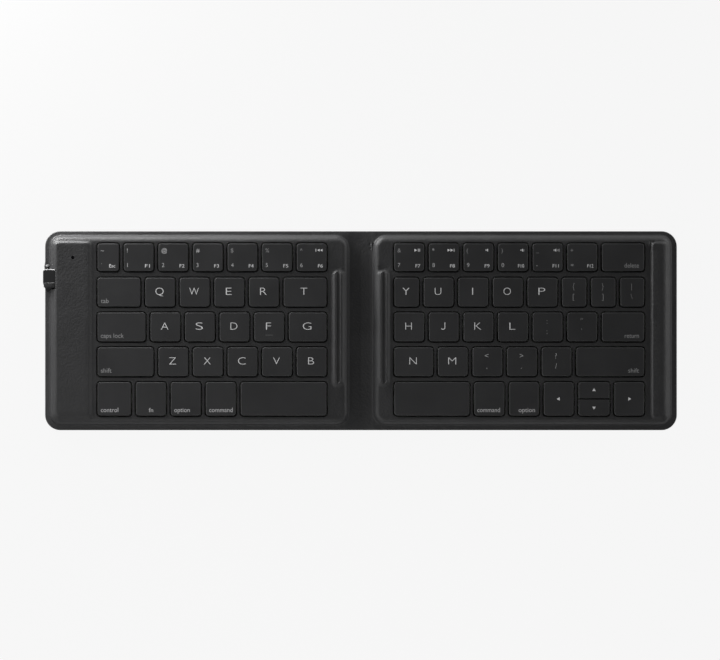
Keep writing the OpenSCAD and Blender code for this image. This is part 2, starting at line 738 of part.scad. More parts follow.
module arrow_half(side) {
    color("#2b2b2e") for (w = RIGHT_WINDOWS) if (w[0] == "up_down") split_cap(w, side);
}

module key_q() keys(LEFT_WINDOWS, ["q"]);
module key_w() keys(LEFT_WINDOWS, ["w"]);
module key_e() keys(LEFT_WINDOWS, ["e"]);
module key_r() keys(LEFT_WINDOWS, ["r"]);
module key_t() keys(LEFT_WINDOWS, ["t"]);
module key_a() keys(LEFT_WINDOWS, ["a"]);
module key_s() keys(LEFT_WINDOWS, ["s"]);
module key_d() keys(LEFT_WINDOWS, ["d"]);
module key_f() keys(LEFT_WINDOWS, ["f"]);
module key_g() keys(LEFT_WINDOWS, ["g"]);
module key_z() keys(LEFT_WINDOWS, ["z"]);
module key_x() keys(LEFT_WINDOWS, ["x"]);
module key_c() keys(LEFT_WINDOWS, ["c"]);
module key_v() keys(LEFT_WINDOWS, ["v"]);
module key_b() keys(LEFT_WINDOWS, ["b"]);
module left_space_bar() keys(LEFT_WINDOWS, ["left_space"]);
module left_number_keys() keys(LEFT_WINDOWS, NUMBERS);
module left_modifier_keys() keys(LEFT_WINDOWS, MODIFIERS);
module key_y() keys(RIGHT_WINDOWS, ["y"]);
module key_u() keys(RIGHT_WINDOWS, ["u"]);
module key_i() keys(RIGHT_WINDOWS, ["i"]);
module key_o() keys(RIGHT_WINDOWS, ["o"]);
module key_p() keys(RIGHT_WINDOWS, ["p"]);
module key_h() keys(RIGHT_WINDOWS, ["h"]);
module key_j() keys(RIGHT_WINDOWS, ["j"]);
module key_k() keys(RIGHT_WINDOWS, ["k"]);
module key_l() keys(RIGHT_WINDOWS, ["l"]);
module key_n() keys(RIGHT_WINDOWS, ["n"]);
module key_m() keys(RIGHT_WINDOWS, ["m"]);
module right_space_bar() keys(RIGHT_WINDOWS, ["right_space"]);
module key_arrow_left() keys(RIGHT_WINDOWS, ["arrow_left"]);
module key_arrow_right() keys(RIGHT_WINDOWS, ["arrow_right"]);
module key_arrow_up() arrow_half(1);
module key_arrow_down() arrow_half(-1);
module right_number_keys() keys(RIGHT_WINDOWS, NUMBERS);
module right_modifier_keys() keys(RIGHT_WINDOWS, MODIFIERS);
module punctuation_keys() keys(RIGHT_WINDOWS, PUNCTUATION);

// ---- Electronics, drawn at +X and mirrored to the left half ----

module battery() {
    lead_d = 0.8;
    color("#b9bcc2") mirror([1, 0, 0]) {
        translate([0, 0, plate_top]) linear_extrude(battery_t)
            rounded_rect(bay_x0 + bay_gap, bay_x1 - bay_gap, battery_y0, battery_y1, 1);
        for (side = [-1, 1])
            translate([(bay_x0 + bay_x1) / 2 + side * lead_d, battery_y1 - over, board_top + lead_d])
                rotate([-90, 0, 0]) cylinder(d = lead_d, h = lead_room + 2 * over);
    }
}

// A tongue of the board that carries the receptacle, grown by a gap.
module board_tongue(gap, height) {
    tongue_w = port_w + 1.2;
    translate([bay_x1 - over, port_y - tongue_w / 2 - gap, membrane_top])
        cube([port_x1 - port_l / 2 - bay_x1 + over + gap, tongue_w + 2 * gap, height]);
}

// The board and what is soldered on it: radio can, controller, battery socket and lamp.
module main_board() {
    mid_x = (bay_x0 + bay_x1) / 2;
    color("#1f5c3a") mirror([1, 0, 0]) {
        translate([bay_x0 + bay_gap, board_y0, membrane_top])
            cube([bay_x1 - bay_x0 - 2 * bay_gap, board_l, board_t]);
        board_tongue(0, board_t);
        for (part = [[mid_x - 1.6, port_y + 5.6, 6.5, 4.2, 1.1], [mid_x - 2.2, port_y, 5, 5, 0.9],
                     [mid_x, board_y0 + 1.75, 4.5, 1.5, 1.6], [lens_x, lens_y, 1.6, 1.2, lamp_top - board_top]])
            translate([part[0] - part[2] / 2, part[1] - part[3] / 2, board_top - board_t / 4])
                cube([part[2], part[3], part[4] + board_t / 4]);
    }
}

// Section of the receptacle: a flat shell with two slanted lower corners.
module port_section(width, height) {
    slant = height * 0.4;
    polygon([[-width / 2 + slant, -height / 2], [width / 2 - slant, -height / 2],
             [width / 2, slant - height / 2], [width / 2, height / 2], [-width / 2, height / 2],
             [-width / 2, slant - height / 2]]);
}

module charging_port() {
    x0 = port_x1 - port_l;
    color("#b4b6b8") mirror([1, 0, 0]) {
        difference() {
            along_x(x0, port_x1) translate([port_y, port_mid_z]) port_section(port_w, port_h);
            along_x(x0 + over, port_x1 + over) translate([port_y, port_mid_z])
                port_section(port_w - 2 * port_wall, port_h - 2 * port_wall);
        }
        translate([x0 + over / 2, port_y - port_w / 4, port_mid_z + 0.1])
            cube([port_l - over, port_w / 2, port_h / 4]);
    }
}

module port_surround() {
    color("#1d1d1f") mirror([1, 0, 0]) difference() {
        surround_shape(0);
        along_x(half_w - surround_in - over, half_w + surround_out + over)
            translate([port_y, port_mid_z]) port_section(port_w, port_h);
        board_tongue(frame_gap, board_t);
    }
}

module light_pipe() {
    collar_h = 0.6;
    collar_w = 0.4;
    color("#d9e4e8") mirror([1, 0, 0]) translate([lens_x, lens_y, 0]) {
        translate([0, 0, lamp_top]) cylinder(d = lens_d, h = strip_top - lens_sink - lamp_top);
        translate([0, 0, bay_top - collar_h]) cylinder(d = lens_d + 2 * collar_w, h = collar_h);
    }
}

module magnets() {
    color("#c3c5c9") magnet_place() translate([0, 0, magnet_top - magnet_h])
        cylinder(d = magnet_d, h = magnet_h);
}

module left_magnets() mirror([1, 0, 0]) magnets();
module right_magnets() magnets();

left_bottom_cover();
left_top_cover();
left_frame();
left_base_plate();
left_membrane();
left_domes();
left_scissors();
battery();
main_board();
charging_port();
port_surround();
light_pipe();
left_magnets();
spine_cover();
flex_cable();
right_bottom_cover();
right_top_cover();
right_frame();
right_base_plate();
right_membrane();
right_domes();
right_scissors();
right_magnets();
key_q();
key_w();
key_e();
key_r();
key_t();
key_a();
key_s();
key_d();
key_f();
key_g();
key_z();
key_x();
key_c();
key_v();
key_b();
left_space_bar();
key_y();
key_u();
key_i();
key_o();
key_p();
key_h();
key_j();
key_k();
key_l();
key_n();
key_m();
right_space_bar();
key_arrow_left();
key_arrow_right();
key_arrow_up();
key_arrow_down();
left_number_keys();
right_number_keys();
left_modifier_keys();
right_modifier_keys();
punctuation_keys();
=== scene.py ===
import functools
import json
import math
import bmesh
import bpy
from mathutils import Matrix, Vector, noise
from mathutils.geometry import delaunay_2d_cdt

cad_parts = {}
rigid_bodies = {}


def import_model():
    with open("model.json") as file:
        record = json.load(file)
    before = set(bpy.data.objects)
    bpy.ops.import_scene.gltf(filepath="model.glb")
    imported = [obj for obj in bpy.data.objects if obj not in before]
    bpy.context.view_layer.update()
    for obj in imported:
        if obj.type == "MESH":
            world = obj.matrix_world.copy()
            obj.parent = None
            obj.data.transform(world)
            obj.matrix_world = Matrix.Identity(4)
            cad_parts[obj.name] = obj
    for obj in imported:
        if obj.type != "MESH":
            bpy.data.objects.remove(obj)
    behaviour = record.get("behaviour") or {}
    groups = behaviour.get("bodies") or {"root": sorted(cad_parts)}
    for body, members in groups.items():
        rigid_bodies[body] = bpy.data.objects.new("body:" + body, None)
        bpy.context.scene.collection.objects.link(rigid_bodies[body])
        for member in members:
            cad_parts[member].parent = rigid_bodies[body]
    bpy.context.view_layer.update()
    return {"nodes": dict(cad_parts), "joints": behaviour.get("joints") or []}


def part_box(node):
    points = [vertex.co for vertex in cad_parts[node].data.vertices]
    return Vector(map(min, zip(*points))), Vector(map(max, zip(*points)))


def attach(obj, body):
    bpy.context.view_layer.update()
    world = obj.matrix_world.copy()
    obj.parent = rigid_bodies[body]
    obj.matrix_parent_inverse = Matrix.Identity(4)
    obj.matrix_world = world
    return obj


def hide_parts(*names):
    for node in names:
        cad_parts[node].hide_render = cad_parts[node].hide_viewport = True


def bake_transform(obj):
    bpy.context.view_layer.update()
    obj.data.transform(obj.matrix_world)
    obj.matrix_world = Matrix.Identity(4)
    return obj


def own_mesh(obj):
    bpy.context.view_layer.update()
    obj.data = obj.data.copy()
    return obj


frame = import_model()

# Sizes are in millimetres and repeat the named values of the part's source. Meshes are written in metres.
MM = 0.001
DEPTH, HALF_W, CORNER_R = 95.0, 150.84, 7.3
LEFT_EDGE_W, RIGHT_EDGE_W, BACK_EDGE_W, FRONT_EDGE_W = 2.45, 2.85, 2.05, 2.6   # flat sewn edge outside the shoulder
RIM_T, DECK_H, SHOULDER_W = 1.4, 5.0, 3.1
BODY_X0, BODY_Y0, BODY_Y1 = 6.0, FRONT_EDGE_W - DEPTH / 2, DEPTH / 2 - BACK_EDGE_W
STRIP_H, GROOVE_H = 1.0, 0.6
KEY_PITCH, WEB_W, WINDOW_R = 16.5, 1.3, 1.9    # WEB_W is the leather between two windows of a row
LEFT_KEYS_X, RIGHT_KEYS_X = 15.9, 15.4         # from the fold's middle to the first window
BACK_MARGIN = 5.4                              # from the back edge to the back row's windows
ROW_DEPTHS = [14.2, 14.8, 14.8, 14.8, 17.0]
ROW_WEBS = [2.1, 1.8, 1.8, 1.8, 0.0]           # leather in front of each row's windows
KEY_TOP = DECK_H + 0.6
LENS_X, LENS_Y, LENS_R = -137.44, 34.9, 0.8
PORT_Y = 24.4

# Windows of each row from the left, from the back row to the front, with widths in key pitches.
LEFT_ROWS = [
    [("grave", .76), ("1", 1), ("2", 1), ("3", 1), ("4", 1), ("5", 1), ("6", 1)],
    [("tab", 1.38), ("q", 1), ("w", 1), ("e", 1), ("r", 1), ("t", 1.38)],
    [("caps", 1.53), ("a", 1), ("s", 1), ("d", 1), ("f", 1), ("g", 1.23)],
    [("left_shift", 1.76), ("z", 1), ("x", 1), ("c", 1), ("v", 1), ("b", 1)],
    [("control", 1.11), ("fn", 1.01), ("left_option", 1.01), ("left_command", 1.01), ("left_space", 2.62)]]
RIGHT_ROWS = [
    [("7", 1), ("8", 1), ("9", 1), ("0", 1), ("minus", 1), ("equals", 1), ("delete", 1.36)],
    [("y", .85), ("u", 1), ("i", 1), ("o", 1), ("p", 1),
     ("left_bracket", .84), ("right_bracket", .84), ("backslash", .83)],
    [("h", 1), ("j", 1), ("k", 1), ("l", 1), ("semicolon", 1), ("quote", 1), ("return", 1.36)],
    [("n", 1.26), ("m", 1), ("comma", 1), ("period", 1), ("slash", 1), ("right_shift", 2.1)],
    [("right_space", 2.31), ("right_command", 1.01), ("right_option", 1), ("arrow_left", 1),
     ("up_down", 1.04), ("arrow_right", 1)]]


def windows(rows, inner_x, side):
    """Windows of one half by name, as (x0, x1, y0, y1)."""
    out = {}
    back = DEPTH / 2 - BACK_MARGIN
    for row, depth, web in zip(rows, ROW_DEPTHS, ROW_WEBS):
        width = sum(w for _, w in row) * KEY_PITCH - WEB_W
        x = inner_x if side > 0 else -inner_x - width
        for name, w in row:
            out[name] = (x, x + w * KEY_PITCH - WEB_W, back - depth, back)
            x += w * KEY_PITCH
        back -= depth + web
    return out


LEFT_WINDOWS = windows(LEFT_ROWS, LEFT_KEYS_X, -1)
RIGHT_WINDOWS = windows(RIGHT_ROWS, RIGHT_KEYS_X, 1)


# ---- Mesh helpers ----

STROKE_REACH = 3.0        # widths of a wrinkle within which it counts
WELD_GAP = 0.0015


class Rounded:
    """A rounded rectangle whose level rises inwards from 0 at its edge, by 1 over each side's slope width.

    slopes are the widths at x0, x1, y0 and y1, and radii the corner radii at x0 and x1 in those units."""

    def __init__(self, x0, x1, y0, y1, slopes=(1, 1, 1, 1), radii=(1, 1)):
        self.x0, self.x1, self.y0, self.y1 = x0, x1, y0, y1
        self.slopes, self.radii = slopes, radii

    def level(self, x, y):
        left, right, front, back = self.slopes
        a, b = (x - self.x0) / left, (self.x1 - x) / right
        dx, dy = min(a, b), min((y - self.y0) / front, (self.y1 - y) / back)
        r = self.radii[0] if a < b else self.radii[1]
        if dx < r and dy < r:
            return r - math.hypot(r - dx, r - dy)
        return min(dx, dy)

    def loop(self, t, spacing, arc):
        """Points anticlockwise along the line where the level is t, with arc steps round each corner."""
        left, right, front, back = self.slopes
        near, far = self.radii
        corners = [(self.x1, self.y0, -right, front, far, -90), (self.x1, self.y1, -right, -back, far, 0),
                   (self.x0, self.y1, left, -back, near, 90), (self.x0, self.y0, left, front, near, 180)]
        points = []
        for cx, cy, sx, sy, r, start in corners:
            r2 = max(r - t, 0)
            mx, my = cx + sx * max(r, t), cy + sy * max(r, t)
            steps = arc if r2 > 1e-6 else 0
            arc_points = []
            for i in range(steps + 1):
                a = math.radians(start + 90 * i / max(steps, 1))
                arc_points.append((mx + abs(sx) * r2 * math.cos(a), my + abs(sy) * r2 * math.sin(a)))
            if points:
                points += between(points[-1], arc_points[0], spacing)
            points += arc_points
        points += between(points[-1], points[0], spacing)
        return points


def between(a, b, spacing):
    """Points strictly between a and b."""
    n = max(1, round(math.dist(a, b) / spacing))
    return [(a[0] + (b[0] - a[0]) * i / n, a[1] + (b[1] - a[1]) * i / n) for i in range(1, n)]


def ramp(t, bend=0.3):
    """Rise from 0 to 1 with a straight middle and rounded ends."""
    t = min(max(t, 0.0), 1.0)
    steep = 1 / (1 - bend)
    if t < bend:
        return steep * t * t / (2 * bend)
    if t > 1 - bend:
        return 1 - steep * (1 - t) ** 2 / (2 * bend)
    return steep * (t - bend / 2)


def stroke(line, x, y):
    """Height at a point of a short wrinkle, given as (x0, y0, x1, y1, width, height). Its ends are half as high."""
    x0, y0, x1, y1, width, height = line
    dx, dy = x1 - x0, y1 - y0
    along = ((x - x0) * dx + (y - y0) * dy) / (dx * dx + dy * dy)
    t = min(max(along, 0.0), 1.0)
    away = math.hypot(x - x0 - t * dx, y - y0 - t * dy) / width
    return height * math.exp(-away * away) * (1 - 0.5 * abs(2 * t - 1)) if away < STROKE_REACH else 0.0


def quads(first, columns, rows, closed=False, flip=False):
    """Faces between rows of points, which follow each other from the point numbered first."""
    faces = []
    for row in range(rows - 1):
        start = first + row * columns
        for i in range(columns if closed else columns - 1):
            a, b = start + i, start + (i + 1) % columns
            quad = (a, b, b + columns, a + columns)
            faces.append(quad[::-1] if flip else quad)
    return faces


def new_object(name, verts, faces, material, smooth=True):
    """A mesh object from points in millimetres."""
    mesh = bpy.data.meshes.new(name)
    mesh.from_pydata([(x * MM, y * MM, z * MM) for x, y, z in verts], [], faces)
    mesh.validate()
    mesh.update()
    mesh.materials.append(material)
    if smooth:
        mesh.shade_smooth()
    obj = bpy.data.objects.new(name, mesh)
    bpy.context.scene.collection.objects.link(obj)
    return obj


def weld(obj):
    """Join the points of a mesh that meet."""
    mod = obj.modifiers.new("weld", "WELD")
    mod.merge_threshold = WELD_GAP * MM
    graph = bpy.context.evaluated_depsgraph_get()
    mesh = bpy.data.meshes.new_from_object(obj.evaluated_get(graph))
    obj.modifiers.clear()
    obj.data = mesh


# ---- Materials: textures are in metres, so a scale is a number of cells a metre ----

NOISE_LOW, NOISE_HIGH = 0.3, 0.7          # the part of a noise's range that is used


def material(name, colour, roughness, specular=0.5, metallic=0.0):
    mat = bpy.data.materials.new(name)
    mat.use_nodes = True
    shader = mat.node_tree.nodes["Principled BSDF"]
    shader.inputs["Base Color"].default_value = (*colour, 1)
    shader.inputs["Roughness"].default_value = roughness
    shader.inputs["Specular IOR Level"].default_value = specular
    shader.inputs["Metallic"].default_value = metallic
    return mat, mat.node_tree, shader


def coords(tree):
    return tree.nodes.new("ShaderNodeTexCoord").outputs["Object"]


def noise_tex(tree, vector, scale, detail=2.0, rough=0.5):
    node = tree.nodes.new("ShaderNodeTexNoise")
    node.inputs["Scale"].default_value = scale
    node.inputs["Detail"].default_value = detail
    node.inputs["Roughness"].default_value = rough
    tree.links.new(vector, node.inputs["Vector"])
    return node.outputs["Fac"]


def cells_tex(tree, vector, scale):
    node = tree.nodes.new("ShaderNodeTexVoronoi")
    node.feature = "SMOOTH_F1"
    node.inputs["Scale"].default_value = scale
    tree.links.new(vector, node.inputs["Vector"])
    return node.outputs["Distance"]


def spread(tree, value, low, high):
    """A noise's values spread from low to high."""
    node = tree.nodes.new("ShaderNodeMapRange")
    for key, number in zip(("From Min", "From Max", "To Min", "To Max"), (NOISE_LOW, NOISE_HIGH, low, high)):
        node.inputs[key].default_value = number
    tree.links.new(value, node.inputs["Value"])
    return node.outputs["Result"]


def add_bump(tree, shader, layers):
    """Bumps stacked from the coarsest to the finest, as (height, distance in metres, strength)."""
    normal = None
    for height, distance, strength in layers:
        node = tree.nodes.new("ShaderNodeBump")
        node.inputs["Distance"].default_value = distance
        node.inputs["Strength"].default_value = strength
        tree.links.new(height, node.inputs["Height"])
        if normal:
            tree.links.new(normal, node.inputs["Normal"])
        normal = node.outputs["Normal"]
    tree.links.new(normal, shader.inputs["Normal"])


def tint(tree, shader, value, colour, darkest, lightest):
    """Base colour that runs between two shares of a colour's brightness with a noise."""
    node = tree.nodes.new("ShaderNodeMix")
    node.data_type = "RGBA"
    node.inputs[6].default_value = (*(c * darkest for c in colour), 1)
    node.inputs[7].default_value = (*(c * lightest for c in colour), 1)
    tree.links.new(spread(tree, value, 0, 1), node.inputs[0])
    tree.links.new(node.outputs[2], shader.inputs["Base Color"])


def leather(name, colour, roughness):
    """Fine-grained leather: slow rolls under a pebbled grain with pores, and a patchy colour."""
    mat, tree, shader = material(name, colour, roughness)
    at = coords(tree)
    pebbles = cells_tex(tree, at, 1150)
    pores = noise_tex(tree, at, 3800, 3)
    rolls = noise_tex(tree, at, 95, 3, 0.6)
    patches = noise_tex(tree, at, 38, 4, 0.65)
    tint(tree, shader, patches, colour, 0.86, 1.16)
    tree.links.new(spread(tree, rolls, roughness - 0.05, roughness + 0.06), shader.inputs["Roughness"])
    add_bump(tree, shader, [(rolls, 0.0012, 0.10), (pebbles, 0.00022, 0.45), (pores, 0.00006, 0.4)])
    return mat


def moulded(name, colour, roughness, specular=0.5, grain=2600):
    """Moulded plastic, film or rubber, with a fine grain."""
    mat, tree, shader = material(name, colour, roughness, specular)
    at = coords(tree)
    fine = noise_tex(tree, at, grain, 2)
    broad = noise_tex(tree, at, 60, 3)
    tint(tree, shader, broad, colour, 0.93, 1.07)
    tree.links.new(spread(tree, broad, roughness - 0.03, roughness + 0.03), shader.inputs["Roughness"])
    add_bump(tree, shader, [(fine, 0.00002, 0.35)])
    return mat


def metal(name, colour, roughness, grain=(900, 40, 900)):
    """Metal with a grain that runs along the axis of the lowest scale."""
    mat, tree, shader = material(name, colour, roughness, metallic=1.0)
    mapping = tree.nodes.new("ShaderNodeMapping")
    mapping.inputs["Scale"].default_value = grain
    tree.links.new(coords(tree), mapping.inputs["Vector"])
    lines = noise_tex(tree, mapping.outputs["Vector"], 1.0, 3)
    tree.links.new(spread(tree, lines, roughness - 0.07, roughness + 0.08), shader.inputs["Roughness"])
    add_bump(tree, shader, [(lines, 0.00001, 0.3)])
    return mat


# Both halves are the same leather. The left is a little darker: painted shade that evens out the stronger light at the
# left end.
LEFT_LEATHER = leather("left_leather", (0.0258, 0.0258, 0.0268), 0.54)
RIGHT_LEATHER = leather("right_leather", (0.0262, 0.0262, 0.0271), 0.54)
KEY_PLASTIC = moulded("key_plastic", (0.0240, 0.0240, 0.0250), 0.50)
# Near black, darker than the frame's own black plastic: painted shade in the gaps round the keys. The windows' leather
# walls take it too.
FRAME_AND_GAP_SHADE = moulded("frame_plastic", (0.003, 0.003, 0.0032), 0.7, 0.2)
SURROUND = moulded("surround_plastic", (0.020, 0.020, 0.021), 0.38, grain=1800)
LENS = moulded("light_pipe_plastic", (0.004, 0.004, 0.005), 0.12)
STEEL = metal("port_steel", (0.50, 0.51, 0.52), 0.3)
PLATE = metal("plate_steel", (0.45, 0.46, 0.47), 0.35)
MAGNET = metal("magnet_metal", (0.62, 0.63, 0.64), 0.2)
FOIL = metal("battery_foil", (0.55, 0.56, 0.58), 0.4, (300, 300, 300))
FILM = moulded("membrane_film", (0.50, 0.56, 0.47), 0.3)
RUBBER = moulded("dome_rubber", (0.60, 0.60, 0.56), 0.55)
LEVER = moulded("lever_plastic", (0.72, 0.72, 0.69), 0.42)
BOARD = moulded("board_green", (0.02, 0.12, 0.05), 0.35)
FLEX = moulded("flex_film", (0.42, 0.19, 0.04), 0.3)
# The last of these is no ink but a painted highlight: the lit edges of the raised homing bar on F.
WHITE, GREY, DIM, HOMING_HIGHLIGHT = range(4)        # the inks of the legends
LEGEND_GREYS = (0.72, 0.52, 0.27, 0.10)
LEGEND_MATERIALS = [material("legend_ink_%d" % i, (c, c, c * 1.01), 0.6, 0.3)[0] for i, c in enumerate(LEGEND_GREYS)]

NODE_MATERIALS = {
    "left_frame": FRAME_AND_GAP_SHADE, "right_frame": FRAME_AND_GAP_SHADE, "left_base_plate": PLATE, "right_base_plate": PLATE,
    "left_membrane": FILM, "right_membrane": FILM, "left_domes": RUBBER, "right_domes": RUBBER,
    "left_scissors": LEVER, "right_scissors": LEVER, "battery": FOIL, "main_board": BOARD, "charging_port": STEEL,
    "port_surround": SURROUND, "light_pipe": LENS, "left_magnets": MAGNET, "right_magnets": MAGNET, "flex_cable": FLEX,
    "left_bottom_cover": LEFT_LEATHER, "left_top_cover": LEFT_LEATHER, "right_bottom_cover": RIGHT_LEATHER,
    "right_top_cover": RIGHT_LEATHER, "spine_cover": RIGHT_LEATHER}
for name, obj in frame["nodes"].items():
    obj.data.materials.clear()
    obj.data.materials.append(NODE_MATERIALS.get(name, KEY_PLASTIC))


# ---- Leather ----

LEFT_BODY = Rounded(BODY_X0, HALF_W - LEFT_EDGE_W, BODY_Y0, BODY_Y1, radii=(6, 5.2))
RIGHT_BODY = Rounded(BODY_X0, HALF_W - RIGHT_EDGE_W, BODY_Y0, BODY_Y1, radii=(6, 5.0))
BAR = Rounded(6.9, 14.3, -27.5, 29.1, slopes=(2.8, 2.1, 3.0, 1.9), radii=(1.3, 1.3))
GROOVE = Rounded(9.6, 12.2, -25.6, 28.3, slopes=(0.7, 0.7, 1.2, 0.8), radii=(1.8, 1.8))
LEFT_STRIP = Rounded(127.6, 147.1, -42.7, 43.1, slopes=(2.6, 2.2, 2.2, 1.5), radii=(1.5, 1.5))
RIGHT_STRIP = Rounded(138.0, 147.2, -42.7, 42.9, slopes=(1.5, 3.8, 2.2, 1.5), radii=(1.5, 1.2))
TOP_INSET = 0.55          # where the flat top of the sewn edge begins
SHOULDER_CURVE = 0.56     # 0.5 would be a quarter ellipse, 1 a parabola
FOOT_SOFTNESS = 0.14      # rounds the foot of the shoulder
RIM_R = 0.28              # roll of the leather into a window
WALL_DROPS = (0.25, 1.0)  # how far below that roll a window's wall goes
VALLEY_RISE = 0.3         # how far the spine's leather rises towards the halves
VALLEY_BEND, VALLEY_FADE = 2.5, 8.0       # power of that rise, and the width over which it ends on the half
SWAYS = [(7.0, 0.06, 0.05), (3.0, 0.22, 0.022)]   # unevenness of the leather, as (noise layer, scale, height)
SWAY_DROP = 0.03          # lowers the leather, so that the sway's tops stay near the part's own height
PAD_START, PAD_W, THIN_SWAY = 0.2, 1.5, 0.35      # the leather sways fully from PAD_START + PAD_W inside the shoulder
HOLE_MARGIN = 0.015       # how far inside a window's line its triangles are left out
FOLD_LINES = [4.3 + 0.2 * i for i in range(11)]   # lines of points across the fold, where the skin bends
SEAM_Z = 0.77             # height of the sewn edge's upper layer where it meets the seam
EDGE_PROFILE = [(TOP_INSET, 1.40), (0.34, 1.38), (0.15, 1.29), (0.03, 1.12), (0.0, 0.93), (0.03, SEAM_Z),
                (0.09, 0.70), (0.03, 0.62), (0.0, 0.46), (0.03, 0.28), (0.15, 0.11), (0.34, 0.02), (TOP_INSET, 0.0)]

# Where the meshes have points. The top skin follows the shapes in loops, which are given by their levels, and by the
# spacing of their points and the steps round a corner.
BODY_LEVELS = (-0.5, -0.22, 0, 0.12, 0.28, 0.5, 0.78, 1.1, 1.5, 1.95, 2.4, 2.8, 3.2)
BLOCK_LEVELS = (0, 0.17, 0.33, 0.5, 0.67, 0.83, 1.0)
WINDOW_LEVELS = (-0.46, -0.36, -0.2, -0.08, -0.02, 0)
BODY_STEPS, BLOCK_STEPS, WINDOW_STEPS = (2.6, 9), (2.6, 6), (3.5, 6)
GRID_U, GRID_Y, UNDERSIDE_GRID = 2.45, 2.4, 5.0
SPINE_SPACING, LONG_SPACING, END_SPACING, FOLD_SPACING = 1.5, 3.0, 1.2, 2.0   # along the edges and the fold's middle
CORNER_STEPS, FOLD_STEPS = 14, 24          # round an outer corner, and on a fold line to each side of its middle


class Half:
    """One leather half in its own frame, where u runs from the fold to the outer edge.

    wrinkles are strokes, fine is a list of boxes (u0, u1, y0, y1, spacing) where the mesh is closer, and bulges
    are swellings of the outer edge."""

    def __init__(self, side, body, strip, window_list, holes, wrinkles, fine, bulges=()):
        self.side, self.body, self.strip, self.holes = side, body, strip, holes
        self.wrinkles, self.fine, self.bulges = wrinkles, fine, bulges
        self.windows = []
        for x0, x1, y0, y1 in window_list:
            a, b = sorted((side * x0, side * x1))
            self.windows.append(Rounded(a, b, y0, y1, radii=(WINDOW_R, WINDOW_R)))

    def surface(self, u, y):
        """Height of the leather without the roll into the windows."""
        d = self.body.level(u, y)
        soft = 0.5 * (d + math.hypot(d, FOOT_SOFTNESS))
        t = min(max(soft, 0.0) / SHOULDER_W, 1.0)
        z = RIM_T + (DECK_H - RIM_T) * (t * (2 - t)) ** SHOULDER_CURVE
        z += STRIP_H * (ramp(self.strip.level(u, y)) + ramp(BAR.level(u, y)))
        z -= GROOVE_H * ramp(GROOVE.level(u, y))
        z += sum(stroke(line, u, y) for line in self.wrinkles)
        rise = max(u / BODY_X0, 0.0) ** VALLEY_BEND if u < BODY_X0 else 1 - ramp((u - BODY_X0) / VALLEY_FADE)
        z += VALLEY_RISE * rise * (1 - t)
        sway = sum(noise.noise(Vector((self.side * u, y, layer)) * scale) * high for layer, scale, high in SWAYS)
        padded = min(max((d - PAD_START) / PAD_W, 0.0), 1.0)      # the thin sewn edge sways less
        return z + (sway - SWAY_DROP) * (THIN_SWAY + (1 - THIN_SWAY) * padded)

    def height(self, u, y):
        """Height of the leather with the roll into the windows."""
        z = self.surface(u, y)
        for window in self.windows:
            if window.x0 - 1 < u < window.x1 + 1 and window.y0 - 1 < y < window.y1 + 1:
                away = max(-window.level(u, y), 0.0)
                if away < RIM_R:
                    z -= RIM_R - math.sqrt(max(RIM_R ** 2 - (RIM_R - away) ** 2, 0.0))
        return z

    def place(self, u, y, z):
        return (self.side * u, y, z)

    def in_hole(self, u, y):
        return (any(w.level(u, y) > HOLE_MARGIN for w in self.windows)
                or any(inside(hole, u, y) for hole in self.holes))


def inside(loop, x, y):
    """Whether a point is inside a closed line."""
    hit = False
    for (x0, y0), (x1, y1) in zip(loop, loop[1:] + loop[:1]):
        if (y0 > y) != (y1 > y) and x < x0 + (y - y0) * (x1 - x0) / (y1 - y0):
            hit = not hit
    return hit


def edge_path(inset, bulges=()):
    """Open line round one half at an inset from its edge, from the back of the fold to its front.

    bulges are (y, half width, height) of swellings of the outer edge."""
    y = DEPTH / 2 - inset
    line = [(0.0, y)] + between((0.0, y), (FOLD_LINES[0], y), SPINE_SPACING) + [(u, y) for u in FOLD_LINES]
    arcs = []
    for cy, start in ((DEPTH / 2 - CORNER_R, 90), (-(DEPTH / 2 - CORNER_R), 0)):
        r = CORNER_R - inset
        angles = [math.radians(start - 90 * i / CORNER_STEPS) for i in range(CORNER_STEPS + 1)]
        arcs.append([(HALF_W - CORNER_R + r * math.cos(a), cy + r * math.sin(a)) for a in angles])
    line += between(line[-1], arcs[0][0], LONG_SPACING)
    front = [(u, -v) for u, v in reversed(line)]
    path = line + arcs[0] + between(arcs[0][-1], arcs[1][0], END_SPACING) + arcs[1] + front
    for y0, reach, high in bulges:
        path = [(u + high * math.exp(-((v - y0) / reach) ** 2) if u > HALF_W - 1.5 else u, v) for u, v in path]
    return path


def triangulate(boundary, lines, loops, spots, keep):
    """Triangles over the boundary that follow open lines, closed loops and loose points."""
    points, edges = [], []

    def add(chain, closed):
        first = len(points)
        points.extend(Vector(p) for p in chain)
        edges.extend((first + i, first + i + 1) for i in range(len(chain) - 1))
        if closed:
            edges.append((first + len(chain) - 1, first))

    add(boundary, True)
    for chain in lines:
        add(chain, False)
    for chain in loops:
        add(chain, True)
    points.extend(Vector(p) for p in spots)
    verts, _, faces, _, _, _ = delaunay_2d_cdt(points, edges, [], 0, 1e-4)
    kept = []
    for face in faces:
        cx = sum(verts[i][0] for i in face) / len(face)
        cy = sum(verts[i][1] for i in face) / len(face)
        if keep(cx, cy):
            kept.append(tuple(face))
    return [(v[0], v[1]) for v in verts], kept


def skin_spots(half, rim):
    """Loose points of a half's top skin, away from the windows: those of the finer boxes, then a grid."""
    spots = []

    def clear(u, y, gap):
        return not any(w.level(u, y) > -gap for w in half.windows)

    for u0, u1, y0, y1, step in half.fine:
        box = [(u0 + i * step, y0 + j * step)
               for i in range(int((u1 - u0) / step)) for j in range(int((y1 - y0) / step))]
        spots += [spot for spot in box if clear(*spot, 0.6)]
    rows = int(DEPTH / 2 / GRID_Y)
    for i in range(2, int(HALF_W / GRID_U) + 1):
        for j in range(-rows, rows + 1):
            u, y = i * GRID_U, j * GRID_Y
            if inside(rim, u, y) and clear(u, y, 0.8):
                spots.append((u, y))
    return spots


